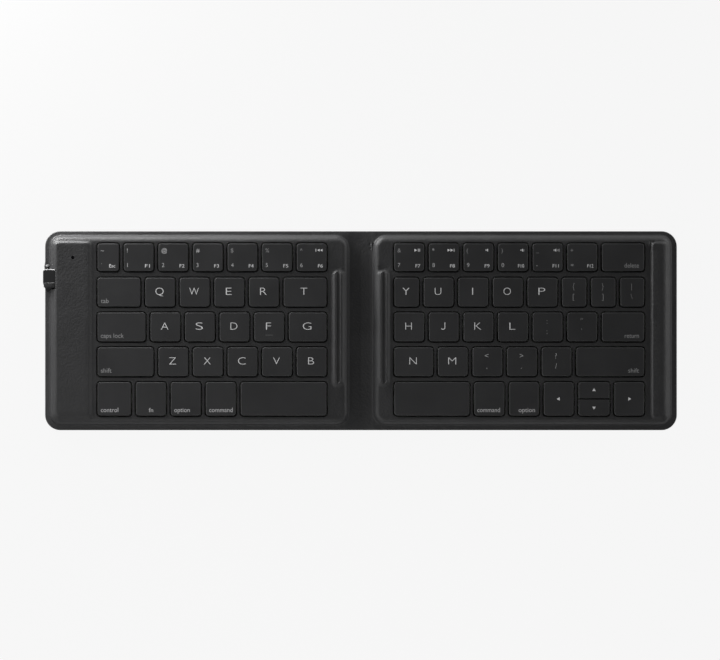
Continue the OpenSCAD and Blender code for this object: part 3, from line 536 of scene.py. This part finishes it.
def leather_half(half, name, mat):
    """The leather of one half: top skin, walls of the windows, rolled edge and underside, welded into one mesh."""
    rim = edge_path(TOP_INSET, half.bulges)
    span = DEPTH / 2 - TOP_INSET
    fold_lines = [[(u, i / FOLD_STEPS * span) for i in range(-FOLD_STEPS, FOLD_STEPS + 1)] for u in FOLD_LINES]
    right_way = 1 if half.side > 0 else -1       # the left half mirrors its faces

    loops = [half.body.loop(t, *BODY_STEPS) for t in BODY_LEVELS]
    for block in (half.strip, BAR, GROOVE):
        loops += [block.loop(t, *BLOCK_STEPS) for t in BLOCK_LEVELS]
    for window in half.windows:
        loops += [window.loop(t, *WINDOW_STEPS) for t in WINDOW_LEVELS]
    loops += half.holes
    boundary = rim + between(rim[-1], rim[0], FOLD_SPACING)
    flat, faces = triangulate(boundary, fold_lines, loops, skin_spots(half, rim),
                              lambda u, y: inside(rim, u, y) and not half.in_hole(u, y))
    verts = [half.place(u, y, half.height(u, y)) for u, y in flat]
    faces = [f[::right_way] for f in faces]

    # Walls of the windows, down past the top of the frame. They are coloured with the near-black plastic as painted
    # shade.
    wall_start = len(faces)
    for window in half.windows:
        ring, first = window.loop(0, *WINDOW_STEPS), len(verts)
        verts += [half.place(u, y, half.height(u, y)) for u, y in ring]
        for drop in WALL_DROPS:
            verts += [half.place(u, y, half.surface(u, y) - RIM_R - drop) for u, y in ring]
        faces += quads(first, len(ring), len(WALL_DROPS) + 1, closed=True, flip=half.side > 0)
    wall_end = len(faces)

    # Rolled edge, from the top skin round to the underside.
    first = len(verts)
    for inset, z in EDGE_PROFILE:
        share = min(max((z - SEAM_Z) / (RIM_T - SEAM_Z), 0.0), 1.0)
        for i, (u, y) in enumerate(edge_path(inset, half.bulges)):
            verts.append(half.place(u, y, z + share * (half.surface(*rim[i]) - RIM_T)))
    faces += quads(first, len(rim), len(EDGE_PROFILE), flip=half.side < 0)

    # Underside.
    columns, rows = int(HALF_W / UNDERSIDE_GRID), int(DEPTH / 2 / UNDERSIDE_GRID)
    grid = [(i * UNDERSIDE_GRID, j * UNDERSIDE_GRID) for i in range(2, columns) for j in range(-rows, rows + 1)
            if inside(rim, i * UNDERSIDE_GRID, j * UNDERSIDE_GRID)]
    flat, under = triangulate(rim, fold_lines, [], grid, lambda u, y: inside(rim, u, y))
    first = len(verts)
    verts += [half.place(u, y, 0.0) for u, y in flat]
    faces += [tuple(first + i for i in f[::-right_way]) for f in under]

    obj = new_object(name, verts, faces, mat)
    # The walls' near-black colour is painted shade in the gaps, not the leather's own.
    obj.data.materials.append(FRAME_AND_GAP_SHADE)
    for i in range(wall_start, wall_end):
        obj.data.polygons[i].material_index = 1
    weld(obj)
    return obj


SURROUND_HOLE = [(145.75, PORT_Y - 4.6), (149.7, PORT_Y - 4.6), (150.0, PORT_Y - 4.0), (150.0, PORT_Y + 4.3),
                 (149.7, PORT_Y + 4.9), (145.75, PORT_Y + 4.9)]
LENS_HOLE = [(-LENS_X + LENS_R * math.cos(math.radians(a)), LENS_Y + LENS_R * math.sin(math.radians(a)))
             for a in range(0, 360, 20)]

BAR_DIP = (8.4, 30.1, 13.0, 30.1, 0.9, -0.36)
LEFT_WRINKLES = [
    (0.0, 40.9, 1.6, 40.5, 0.5, 0.07), BAR_DIP,
    # the fold behind the port
    (148.7, 30.4, 150.6, 30.7, 0.62, 1.1), (148.0, 29.9, 150.0, 29.8, 0.45, 0.5)]
RIGHT_WRINKLES = [
    BAR_DIP,
    # the pinch at the back of the spine, and creases in front of it
    (5.87, 42.1, 4.8, 40.2, 0.36, 0.36), (5.87, 41.2, 4.8, 39.2, 0.30, -0.30), (5.6, 40.2, 4.8, 38.3, 0.32, 0.30),
    (4.3, 40.9, 4.7, 39.3, 0.28, -0.24), (0.0, 40.9, 3.9, 41.6, 0.5, 0.07), (4.9, 37.6, 6.0, 37.5, 0.4, 0.06),
    (4.9, 35.9, 6.0, 35.8, 0.4, 0.06),
    # the puckers at the back of the right strip
    (137.9, 42.8, 138.7, 40.2, 0.34, -0.50), (139.4, 41.3, 138.95, 39.7, 0.32, 0.40),
    (137.2, 41.9, 138.1, 39.9, 0.34, 0.25), (139.9, 42.7, 139.3, 41.9, 0.32, -0.35)]
SPINE_BOX, DIP_BOX = (0.2, 4.2, 39.0, 42.5, 0.5), (7.0, 14.6, 28.9, 31.4, 0.5)
PORT_BOX, PINCH_BOX = (147.4, 150.7, 29.5, 33.0, 0.3), (4.2, 6.8, 35.0, 44.2, 0.25)
PUCKER_BOX = (136.8, 141.2, 39.0, 43.4, 0.25)

left_half = Half(-1, LEFT_BODY, LEFT_STRIP, LEFT_WINDOWS.values(), holes=[SURROUND_HOLE, LENS_HOLE],
                 wrinkles=LEFT_WRINKLES, fine=[SPINE_BOX, DIP_BOX, PORT_BOX], bulges=[(30.6, 1.5, 0.42)])
right_half = Half(1, RIGHT_BODY, RIGHT_STRIP, RIGHT_WINDOWS.values(), holes=[],
                  wrinkles=RIGHT_WRINKLES, fine=[SPINE_BOX, DIP_BOX, PINCH_BOX, PUCKER_BOX])
left_skin = leather_half(left_half, "left_leather_shell", LEFT_LEATHER)
right_skin = leather_half(right_half, "right_leather_shell", RIGHT_LEATHER)
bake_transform(left_skin)
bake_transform(right_skin)
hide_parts("left_top_cover", "left_bottom_cover", "spine_cover")
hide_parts("right_top_cover", "right_bottom_cover", "spine_cover")

# The flat cable is cut in two at the middle, and each end is cut across at the fold's lines.
for side, name in ((-1, "flex_cable_left"), (1, "flex_cable_right")):
    build = bmesh.new()
    build.from_mesh(frame["nodes"]["flex_cable"].data)
    for cut in [0.0] + FOLD_LINES:
        done = bmesh.ops.bisect_plane(build, geom=build.verts[:] + build.edges[:] + build.faces[:],
                                      plane_co=(side * cut * MM, 0, 0), plane_no=(-side, 0, 0), clear_outer=cut == 0)
        if cut == 0:
            bmesh.ops.edgeloop_fill(build, edges=[e for e in done["geom_cut"] if isinstance(e, bmesh.types.BMEdge)])
    mesh = bpy.data.meshes.new(name)
    build.to_mesh(mesh)
    build.free()
    mesh.materials.append(FLEX)
    cable = bpy.data.objects.new(name, mesh)
    bpy.context.scene.collection.objects.link(cable)
    if side < 0:
        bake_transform(cable)
    else:
        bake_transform(cable)
    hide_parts("flex_cable")


def port_lap():
    """The leather that laps over the front end of the port's surround, as a thin skin with a hem.

    Each row of points crosses the lap at one y, from its inner edge over the hem and down the outside."""
    _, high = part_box("port_surround")
    top = high[2] / MM + 0.06
    hem_r, foot_z, lowest = 0.4, 1.3, 0.9
    profile = [(22.95, top - 0.22), (22.85, top + 0.02), (22.6, top + 0.05), (22.0, top + 0.05), (21.5, top + 0.02),
               (21.0, top - 0.32), (20.5, top - 0.95), (20.0, top - 1.95), (19.5, top - 2.9), (19.1, top - 3.6),
               (18.8, RIM_T)]
    verts = []
    for y, z in profile:
        # It covers the leather's edge and the surround's flank, whose line widens in two slopes.
        outer = 150.24 + (y - 19.0) * 0.385 if y < 21.6 else 151.24 + (y - 21.6) * 0.286
        outer += 0.07
        row = [(145.7, z - 0.12), (145.9, z), (147.4, z + 0.02), (149.0, z + 0.02), (outer - 0.7, z)]
        for angle in (70, 45, 20, 0):
            a = math.radians(angle)
            row.append((outer - hem_r + hem_r * math.cos(a), z - hem_r + hem_r * math.sin(a)))
        foot = min(z - 0.5, foot_z)
        row += [(outer, (z - hem_r + foot) / 2), (outer - 0.03, foot)]
        verts += [(-u, y, max(w, lowest)) for u, w in row]
    obj = new_object("port_leather_lap", verts, quads(0, len(row), len(profile)), LEFT_LEATHER)
    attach(obj, "left_half")


port_lap()


# ---- Levers and domes: split into the pieces under each key ----

MECHANISM = [("_scissors", "levers_", LEVER, "lever_plastic"), ("_domes", "domes_", RUBBER, "dome_rubber")]


def islands(mesh):
    """Vertex numbers of each connected part."""
    owner = list(range(len(mesh.vertices)))

    def root(i):
        while owner[i] != i:
            owner[i] = owner[owner[i]]
            i = owner[i]
        return i

    for edge in mesh.edges:
        owner[root(edge.vertices[0])] = root(edge.vertices[1])
    parts = {}
    for i in range(len(owner)):
        parts.setdefault(root(i), []).append(i)
    return parts.values()


def footprint(mesh, part):
    """The box of a part in plan, as (x0, x1, y0, y1)."""
    xs, ys = [mesh.vertices[i].co.x for i in part], [mesh.vertices[i].co.y for i in part]
    return min(xs), max(xs), min(ys), max(ys)


def distance_to(cap, x, y):
    x0, x1, y0, y1, _ = cap
    return max(x0 - x, x - x1, 0) + max(y0 - y, y - y1, 0)


for half in ("left", "right"):
    caps = []
    for joint in frame["joints"]:
        if joint["type"] == "slide" and joint["parent"] == half + "_half":
            cap = frame["nodes"][joint["child"]].data
            caps += [(*footprint(cap, part), joint) for part in islands(cap)]
    for node, label, mat, slot_name in MECHANISM:
        source = frame["nodes"][half + node].data
        joint_of, joints = {}, {}
        for part in islands(source):
            x0, x1, y0, y1 = footprint(source, part)
            joint = min(caps, key=lambda cap: distance_to(cap, (x0 + x1) / 2, (y0 + y1) / 2))[-1]
            joints[joint["name"]] = joint
            joint_of.update((i, joint["name"]) for i in part)
        for joint_name, joint in joints.items():
            chosen = [i for i in range(len(source.vertices)) if joint_of[i] == joint_name]
            index = {v: i for i, v in enumerate(chosen)}
            faces = [tuple(index[v] for v in p.vertices) for p in source.polygons
                     if joint_of[p.vertices[0]] == joint_name]
            piece = new_object(label + joint["child"], [source.vertices[i].co / MM for i in chosen], faces, mat,
                               smooth=False)
            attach(piece, half + "_half")
            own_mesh(piece)
            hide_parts(half + node)


# ---- Legends ----

INK_LIFT = 0.02           # the ink's height over the caps


class Print:
    """Printing on the caps of one body, gathered in one thin mesh. On F it also holds the homing bar's painted
    highlight.
    """

    def __init__(self, body):
        self.body, self.verts, self.faces, self.inks = body, [], [], []

    def add(self, verts, faces, ink):
        first = len(self.verts)
        self.verts += [(x, y, KEY_TOP + INK_LIFT) for x, y in verts]
        self.faces += [tuple(first + i for i in f) for f in faces]
        self.inks += [ink] * len(faces)

    def finish(self):
        obj = new_object("legend_" + self.body, self.verts, self.faces, LEGEND_MATERIALS[WHITE], smooth=False)
        for ink in LEGEND_MATERIALS[GREY:]:
            obj.data.materials.append(ink)
        for poly, ink in zip(obj.data.polygons, self.inks):
            poly.material_index = ink
        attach(obj, self.body)


def text_mesh(text, weight):
    """Points and faces of a text in the built-in font. weight thickens its strokes."""
    curve = bpy.data.curves.new("glyph", "FONT")
    curve.body, curve.offset, curve.resolution_u = text, weight, 4
    obj = bpy.data.objects.new("glyph", curve)
    bpy.context.scene.collection.objects.link(obj)
    graph = bpy.context.evaluated_depsgraph_get()
    mesh = bpy.data.meshes.new_from_object(obj.evaluated_get(graph))
    verts = [(v.co.x, v.co.y) for v in mesh.vertices]
    faces = [tuple(p.vertices) for p in mesh.polygons]
    bpy.data.objects.remove(obj)
    bpy.data.meshes.remove(mesh)
    bpy.data.curves.remove(curve)
    return verts, faces


CAP_HEIGHT = max(y for _, y in text_mesh("H", 0)[0])
prints = {}


@functools.cache
def glyphs(text, weight):
    """Points and faces of a text, with its capitals one unit high."""
    verts, faces = text_mesh(text, weight)
    return [(x / CAP_HEIGHT, y / CAP_HEIGHT) for x, y in verts], faces


def put(body, text, x, y, height, anchor="centre", width=None, weight=0.0, ink=WHITE):
    """Write text with its capitals' foot at y. anchor is the end of the text that stands at x."""
    verts, faces = glyphs(text, weight)
    low, high = min(v[0] for v in verts), max(v[0] for v in verts)
    shift = {"left": low, "right": high, "centre": (low + high) / 2}[anchor]
    across = width / (high - low) if width else height
    prints.setdefault(body, Print(body)).add(
        [(x + (vx - shift) * across, y + vy * height) for vx, vy in verts], faces, ink)


def shape(body, points, ink=WHITE):
    """A filled shape inside a line of points."""
    prints.setdefault(body, Print(body)).add(points, [tuple(range(len(points)))], ink)


def triangle(body, x, y, size, turn):
    """A filled triangle round a point, pointing at an angle."""
    shape(body, [(x + size * math.cos(math.radians(turn + a)), y + size * math.sin(math.radians(turn + a)))
                 for a in (0, 120, 240)])


def bar(body, x, y, wide, high, ink=WHITE):
    """A filled rectangle round a point."""
    shape(body, [(x - wide / 2, y - high / 2), (x + wide / 2, y - high / 2), (x + wide / 2, y + high / 2),
                 (x - wide / 2, y + high / 2)], ink)


def pen_line(body, points, wide):
    """A line of even width through the points."""
    verts = []
    for i, (x, y) in enumerate(points):
        (xa, ya), (xb, yb) = points[max(i - 1, 0)], points[min(i + 1, len(points) - 1)]
        half = wide / 2 / math.hypot(xb - xa, yb - ya)
        verts += [(x + (yb - ya) * half, y - (xb - xa) * half), (x - (yb - ya) * half, y + (xb - xa) * half)]
    faces = [(2 * i, 2 * i + 2, 2 * i + 3, 2 * i + 1) for i in range(len(points) - 1)]
    prints.setdefault(body, Print(body)).add(verts, faces, WHITE)


LETTER_H, WORD_H, DIGIT_H, SMALL_H = 3.5, 2.1, 1.9, 1.55
# The widths of letters and words follow the photo. The third value of RIGHT_WORDS is the margin at the cap's right.
LETTER_WIDTHS = {"q": 3.9, "w": 4.5, "e": 2.7, "r": 3.1, "t": 3.2, "a": 3.5, "s": 3.4, "d": 3.3, "f": 2.4, "g": 4.1,
                 "z": 3.4, "x": 3.3, "c": 3.7, "v": 3.2, "b": 2.8, "y": 3.4, "u": 3.1, "i": 0.45, "o": 3.5, "p": 3.2,
                 "h": 3.1, "k": 3.3, "l": 2.8, "n": 3.5, "m": 3.8}
TOP_SYMBOLS = {"grave": "~", "1": "!", "2": "@", "3": "#", "4": "$", "5": "%", "6": "^", "7": "&", "8": "*", "9": "(",
               "0": ")", "minus": "_", "equals": "+"}
LOW_SYMBOLS = {"grave": "`", "minus": "-", "equals": "="}
FUNCTION_LABELS = {"grave": "Esc", "1": "F1", "2": "F2", "3": "F3", "4": "F4", "5": "F5", "6": "F6", "7": "F7",
                   "8": "F8", "9": "F9", "0": "F10", "minus": "F11", "equals": "F12"}
PAIRS = {"left_bracket": "{[", "right_bracket": "}]", "backslash": "|\\", "semicolon": ":;", "quote": "\"'",
         "comma": "<,", "period": ">.", "slash": "?/"}
LEFT_WORDS = {"tab": ("tab", 3.7), "caps": ("caps lock", 10.9), "left_shift": ("shift", 5.1),
              "control": ("control", 8.3), "left_option": ("option", 7.4), "left_command": ("command", 11.2)}
RIGHT_WORDS = {"delete": ("delete", 6.9, 3.0), "return": ("return", 6.8, 3.0), "right_shift": ("shift", 5.1, 3.0),
               "right_command": ("command", 10.8, 2.6), "right_option": ("option", 7.8, 2.4)}
GREY_SYMBOLS = {"grave", "1", "2", "3", "8"}       # the other symbols over the digits are dimmer
GREY_PAIRS = {"comma", "period", "slash"}
DIM_WORDS = {"tab", "caps", "left_shift", "delete", "return", "right_shift"}
LETTER_FOOT = 1.35                                 # below the cap's middle
LETTER_SHIFTS = {"t": 0.6}                         # leftwards from the cap's middle, 0.3 for the others
# The homing bar is raised plastic, drawn as a faint flat mark: a painted highlight of its lit edges.
HOMING_BAR, HOMING_DROP = (3.6, 0.3), 3.9          # its size, and its place below the cap's middle
SYMBOL_X, SYMBOL_DROP = 2.0, 4.75                  # from the cap's left and back edges
DIGIT_X, DIGIT_FOOT = 2.15, 2.45                   # from the cap's left and front edges
FUNCTION_X, FUNCTION_FOOT = 2.3, 2.25              # from the cap's right and front edges
WORD_X, WORD_FOOT = 2.1, 2.2                       # from the cap's left and front edges
PAIR_H, PAIR_SHIFT, PAIR_FEET = 2.5, 0.3, (1.6, -3.3)      # two symbols, over each other
THIN, THINNER, THINNEST = -0.01, -0.015, -0.018    # changes of the font's weight


def draw_j(xm, ym):
    """The built-in font's J is too narrow to stretch, so it is drawn: a stem and a hook."""
    r, pen = 0.9, 0.38
    angles = [math.radians(a) for a in range(0, -151, -15)]
    hook = [(xm - 0.4 + r * math.cos(a), ym - 0.25 + r * math.sin(a)) for a in angles]
    pen_line("key_j", [(xm - 0.4 + r, ym - LETTER_FOOT + LETTER_H)] + hook, pen)


for side, half_windows in (("left", LEFT_WINDOWS), ("right", RIGHT_WINDOWS)):
    for name, (x0, x1, y0, y1) in half_windows.items():
        xm, ym = (x0 + x1) / 2, (y0 + y1) / 2
        if name in LETTER_WIDTHS:
            put("key_" + name, name.upper(), xm - LETTER_SHIFTS.get(name, 0.3), ym - LETTER_FOOT, LETTER_H,
                width=LETTER_WIDTHS[name], weight=THINNEST)
        if name == "j":
            draw_j(xm, ym)
        if name == "f":
            bar("key_f", xm, ym - HOMING_DROP, *HOMING_BAR, ink=HOMING_HIGHLIGHT)
        if name in FUNCTION_LABELS:
            body, label = side + "_number_keys", FUNCTION_LABELS[name]
            put(body, TOP_SYMBOLS[name], x0 + SYMBOL_X, y1 - SYMBOL_DROP, DIGIT_H, "left",
                ink=GREY if name in GREY_SYMBOLS else DIM)
            put(body, LOW_SYMBOLS.get(name, name), x0 + DIGIT_X, y0 + DIGIT_FOOT, DIGIT_H, "left", weight=THIN,
                ink=GREY)
            put(body, label, x1 - FUNCTION_X, y0 + FUNCTION_FOOT, SMALL_H, "right",
                width=2.9 if len(label) > 2 else 2.3)
        if name in PAIRS:
            for mark, foot in zip(PAIRS[name], PAIR_FEET):
                put("punctuation_keys", mark, xm - PAIR_SHIFT, ym + foot, PAIR_H, weight=THINNER,
                    ink=GREY if name in GREY_PAIRS else DIM)
        if name in LEFT_WORDS:
            word, width = LEFT_WORDS[name]
            put("left_modifier_keys", word, x0 + WORD_X, y0 + WORD_FOOT, WORD_H, "left", width=width,
                ink=DIM if name in DIM_WORDS else GREY)
        if name in RIGHT_WORDS:
            word, width, margin = RIGHT_WORDS[name]
            put("right_number_keys" if name == "delete" else "right_modifier_keys", word, x1 - margin, y0 + WORD_FOOT,
                WORD_H, "right", width=width, ink=DIM if name in DIM_WORDS else GREY)
        if name == "fn":
            put("left_modifier_keys", "fn", xm, y0 + WORD_FOOT, WORD_H * 0.9, width=2.1, ink=GREY)

# Media marks on the number row: previous, play, next and three sound keys, each so far from its cap's right edge.
MARK_DROP, MARK_R, MARK_LINE = 3.7, 0.85, (0.3, 1.4)
SOUND_KEYS = {"9": (3.4, 0), "0": (3.2, 1), "minus": (3.9, 3)}     # place and number of sound waves
_, x1, _, y1 = LEFT_WINDOWS["6"]
bar("left_number_keys", x1 - 5.6, y1 - MARK_DROP, *MARK_LINE)
for x in (4.2, 2.8):
    triangle("left_number_keys", x1 - x, y1 - MARK_DROP, 0.75, 180)
for name, triangles, lines in (("7", (4.7,), (3.3, 2.6)), ("8", (5.4, 4.0), (2.7,))):
    _, x1, _, y1 = RIGHT_WINDOWS[name]
    for x in triangles:
        triangle("right_number_keys", x1 - x, y1 - MARK_DROP, MARK_R, 0)
    for x in lines:
        bar("right_number_keys", x1 - x, y1 - MARK_DROP, *MARK_LINE)
for name, (place, waves) in SOUND_KEYS.items():
    _, x1, _, y1 = RIGHT_WINDOWS[name]
    triangle("right_number_keys", x1 - place, y1 - MARK_DROP, MARK_R, 180)
    bar("right_number_keys", x1 - place - 0.55, y1 - MARK_DROP, 0.6, 0.7)
    for i in range(waves):
        bar("right_number_keys", x1 - place + 0.85 + 0.5 * i, y1 - MARK_DROP, 0.2, 0.7 + 0.35 * i, ink=GREY)

# The arrows, as (key, window, height of the arrow over the window's middle, direction).
for name, window, up, turn in (("arrow_left", "arrow_left", 0, 180), ("arrow_right", "arrow_right", 0, 0),
                               ("arrow_up", "up_down", 4.2, 90), ("arrow_down", "up_down", -4.2, 270)):
    x0, x1, y0, y1 = RIGHT_WINDOWS[window]
    triangle("key_" + name, (x0 + x1) / 2, (y0 + y1) / 2 + up, 0.95, turn)

for sheet in prints.values():
    sheet.finish()


# ---- Floor, light and camera ----

FLOOR_GLOW, GLOW_SHARE = 0.940, 0.965      # what the camera and reflections see of the floor
FLOOR_R, FLOOR_Z = 3000, -0.02
WORLD_STRENGTH = 0.02
DISTANCE, VIEW_W, SENSOR_W = 3.0, 0.3434, 36       # camera: metres above the keys, metres across the picture


def math_node(tree, operation, first, second):
    """The result of a sum on two sockets, or on a socket and a number."""
    node = tree.nodes.new("ShaderNodeMath")
    node.operation = operation
    tree.links.new(first, node.inputs[0])
    if isinstance(second, float):
        node.inputs[1].default_value = second
    else:
        tree.links.new(second, node.inputs[1])
    return node.outputs[0]


# The floor glows evenly where it is looked at, and reflects the lights as a pale floor elsewhere.
floor_mat, tree, shader = material("floor", (0.86, 0.86, 0.86), 0.9, 0.2)
ray = tree.nodes.new("ShaderNodeLightPath").outputs
glow = tree.nodes.new("ShaderNodeEmission")
glow.inputs["Color"].default_value = (FLOOR_GLOW, FLOOR_GLOW, FLOOR_GLOW, 1)
mirrored = math_node(tree, "MAXIMUM", ray["Is Glossy Ray"], ray["Is Transmission Ray"])
seen = math_node(tree, "MAXIMUM", ray["Is Camera Ray"], mirrored)
mix = tree.nodes.new("ShaderNodeMixShader")
tree.links.new(math_node(tree, "MULTIPLY", seen, GLOW_SHARE), mix.inputs[0])
tree.links.new(shader.outputs[0], mix.inputs[1])
tree.links.new(glow.outputs[0], mix.inputs[2])
tree.links.new(mix.outputs[0], tree.nodes["Material Output"].inputs["Surface"])
floor = new_object("floor", [(x * FLOOR_R, y * FLOOR_R, FLOOR_Z) for x, y in ((-1, -1), (1, -1), (1, 1), (-1, 1))],
                   [(0, 1, 2, 3)], floor_mat, smooth=False)

world = bpy.data.worlds.new("world")
bpy.context.scene.world = world
world.use_nodes = True
world.node_tree.nodes["Background"].inputs["Color"].default_value = (1, 1, 1, 1)
world.node_tree.nodes["Background"].inputs["Strength"].default_value = WORLD_STRENGTH


def area_light(name, azimuth, elevation, distance, size, power, target):
    """A soft rectangular light, placed by its direction in degrees and its distance from what it lights."""
    a, e = math.radians(azimuth), math.radians(elevation)
    away = Vector((math.cos(a) * math.cos(e), math.sin(a) * math.cos(e), math.sin(e)))
    data = bpy.data.lights.new(name, "AREA")
    data.shape = "RECTANGLE"
    data.size, data.size_y = size
    data.energy = power
    obj = bpy.data.objects.new(name, data)
    obj.location = Vector(target) + away * distance
    obj.rotation_euler = (-away).to_track_quat("-Z", "Y").to_euler()
    obj.visible_camera = False
    bpy.context.scene.collection.objects.link(obj)


MIDDLE, LEFT_HALF, LEFT_END = (0, 0, 0), (-0.03, 0, 0), (-0.12, 0, 0)
LIGHTS = [    # name, azimuth, elevation, distance in metres, size, power, what it points at
    ("light_front_left", 215, 40, 0.60, (0.4, 0.3), 1.03, LEFT_HALF),
    ("light_front", 270, 40, 0.40, (0.3, 0.2), 0.26, MIDDLE),
    ("light_right", 0, 18, 1.60, (0.9, 0.4), 5.30, MIDDLE),
    ("light_back_right", 45, 18, 0.70, (0.5, 0.2), 0.90, MIDDLE),
    ("light_right_strip", 40, 5, 0.60, (0.4, 0.06), 0.51, MIDDLE),
    ("light_back_strip", 95, 5, 0.30, (0.2, 0.03), 0.45, LEFT_END),
    ("light_back_left_strip", 115, 5, 0.30, (0.2, 0.03), 1.24, LEFT_END),
    ("light_left_strip", 135, 5, 0.30, (0.2, 0.03), 0.48, LEFT_END),
    ("light_back_near", 125, 20, 0.30, (0.2, 0.06), 0.57, LEFT_END),
]
for light in LIGHTS:
    area_light(*light)

camera = bpy.data.cameras.new("camera")
camera.sensor_width = SENSOR_W
camera.lens = SENSOR_W * DISTANCE / VIEW_W
camera_obj = bpy.data.objects.new("camera", camera)
camera_obj.location = (-0.00047, 0.00034, DISTANCE + DECK_H * MM)
bpy.context.scene.collection.objects.link(camera_obj)
bpy.context.scene.camera = camera_obj
bpy.context.scene.view_settings.view_transform = "Standard"
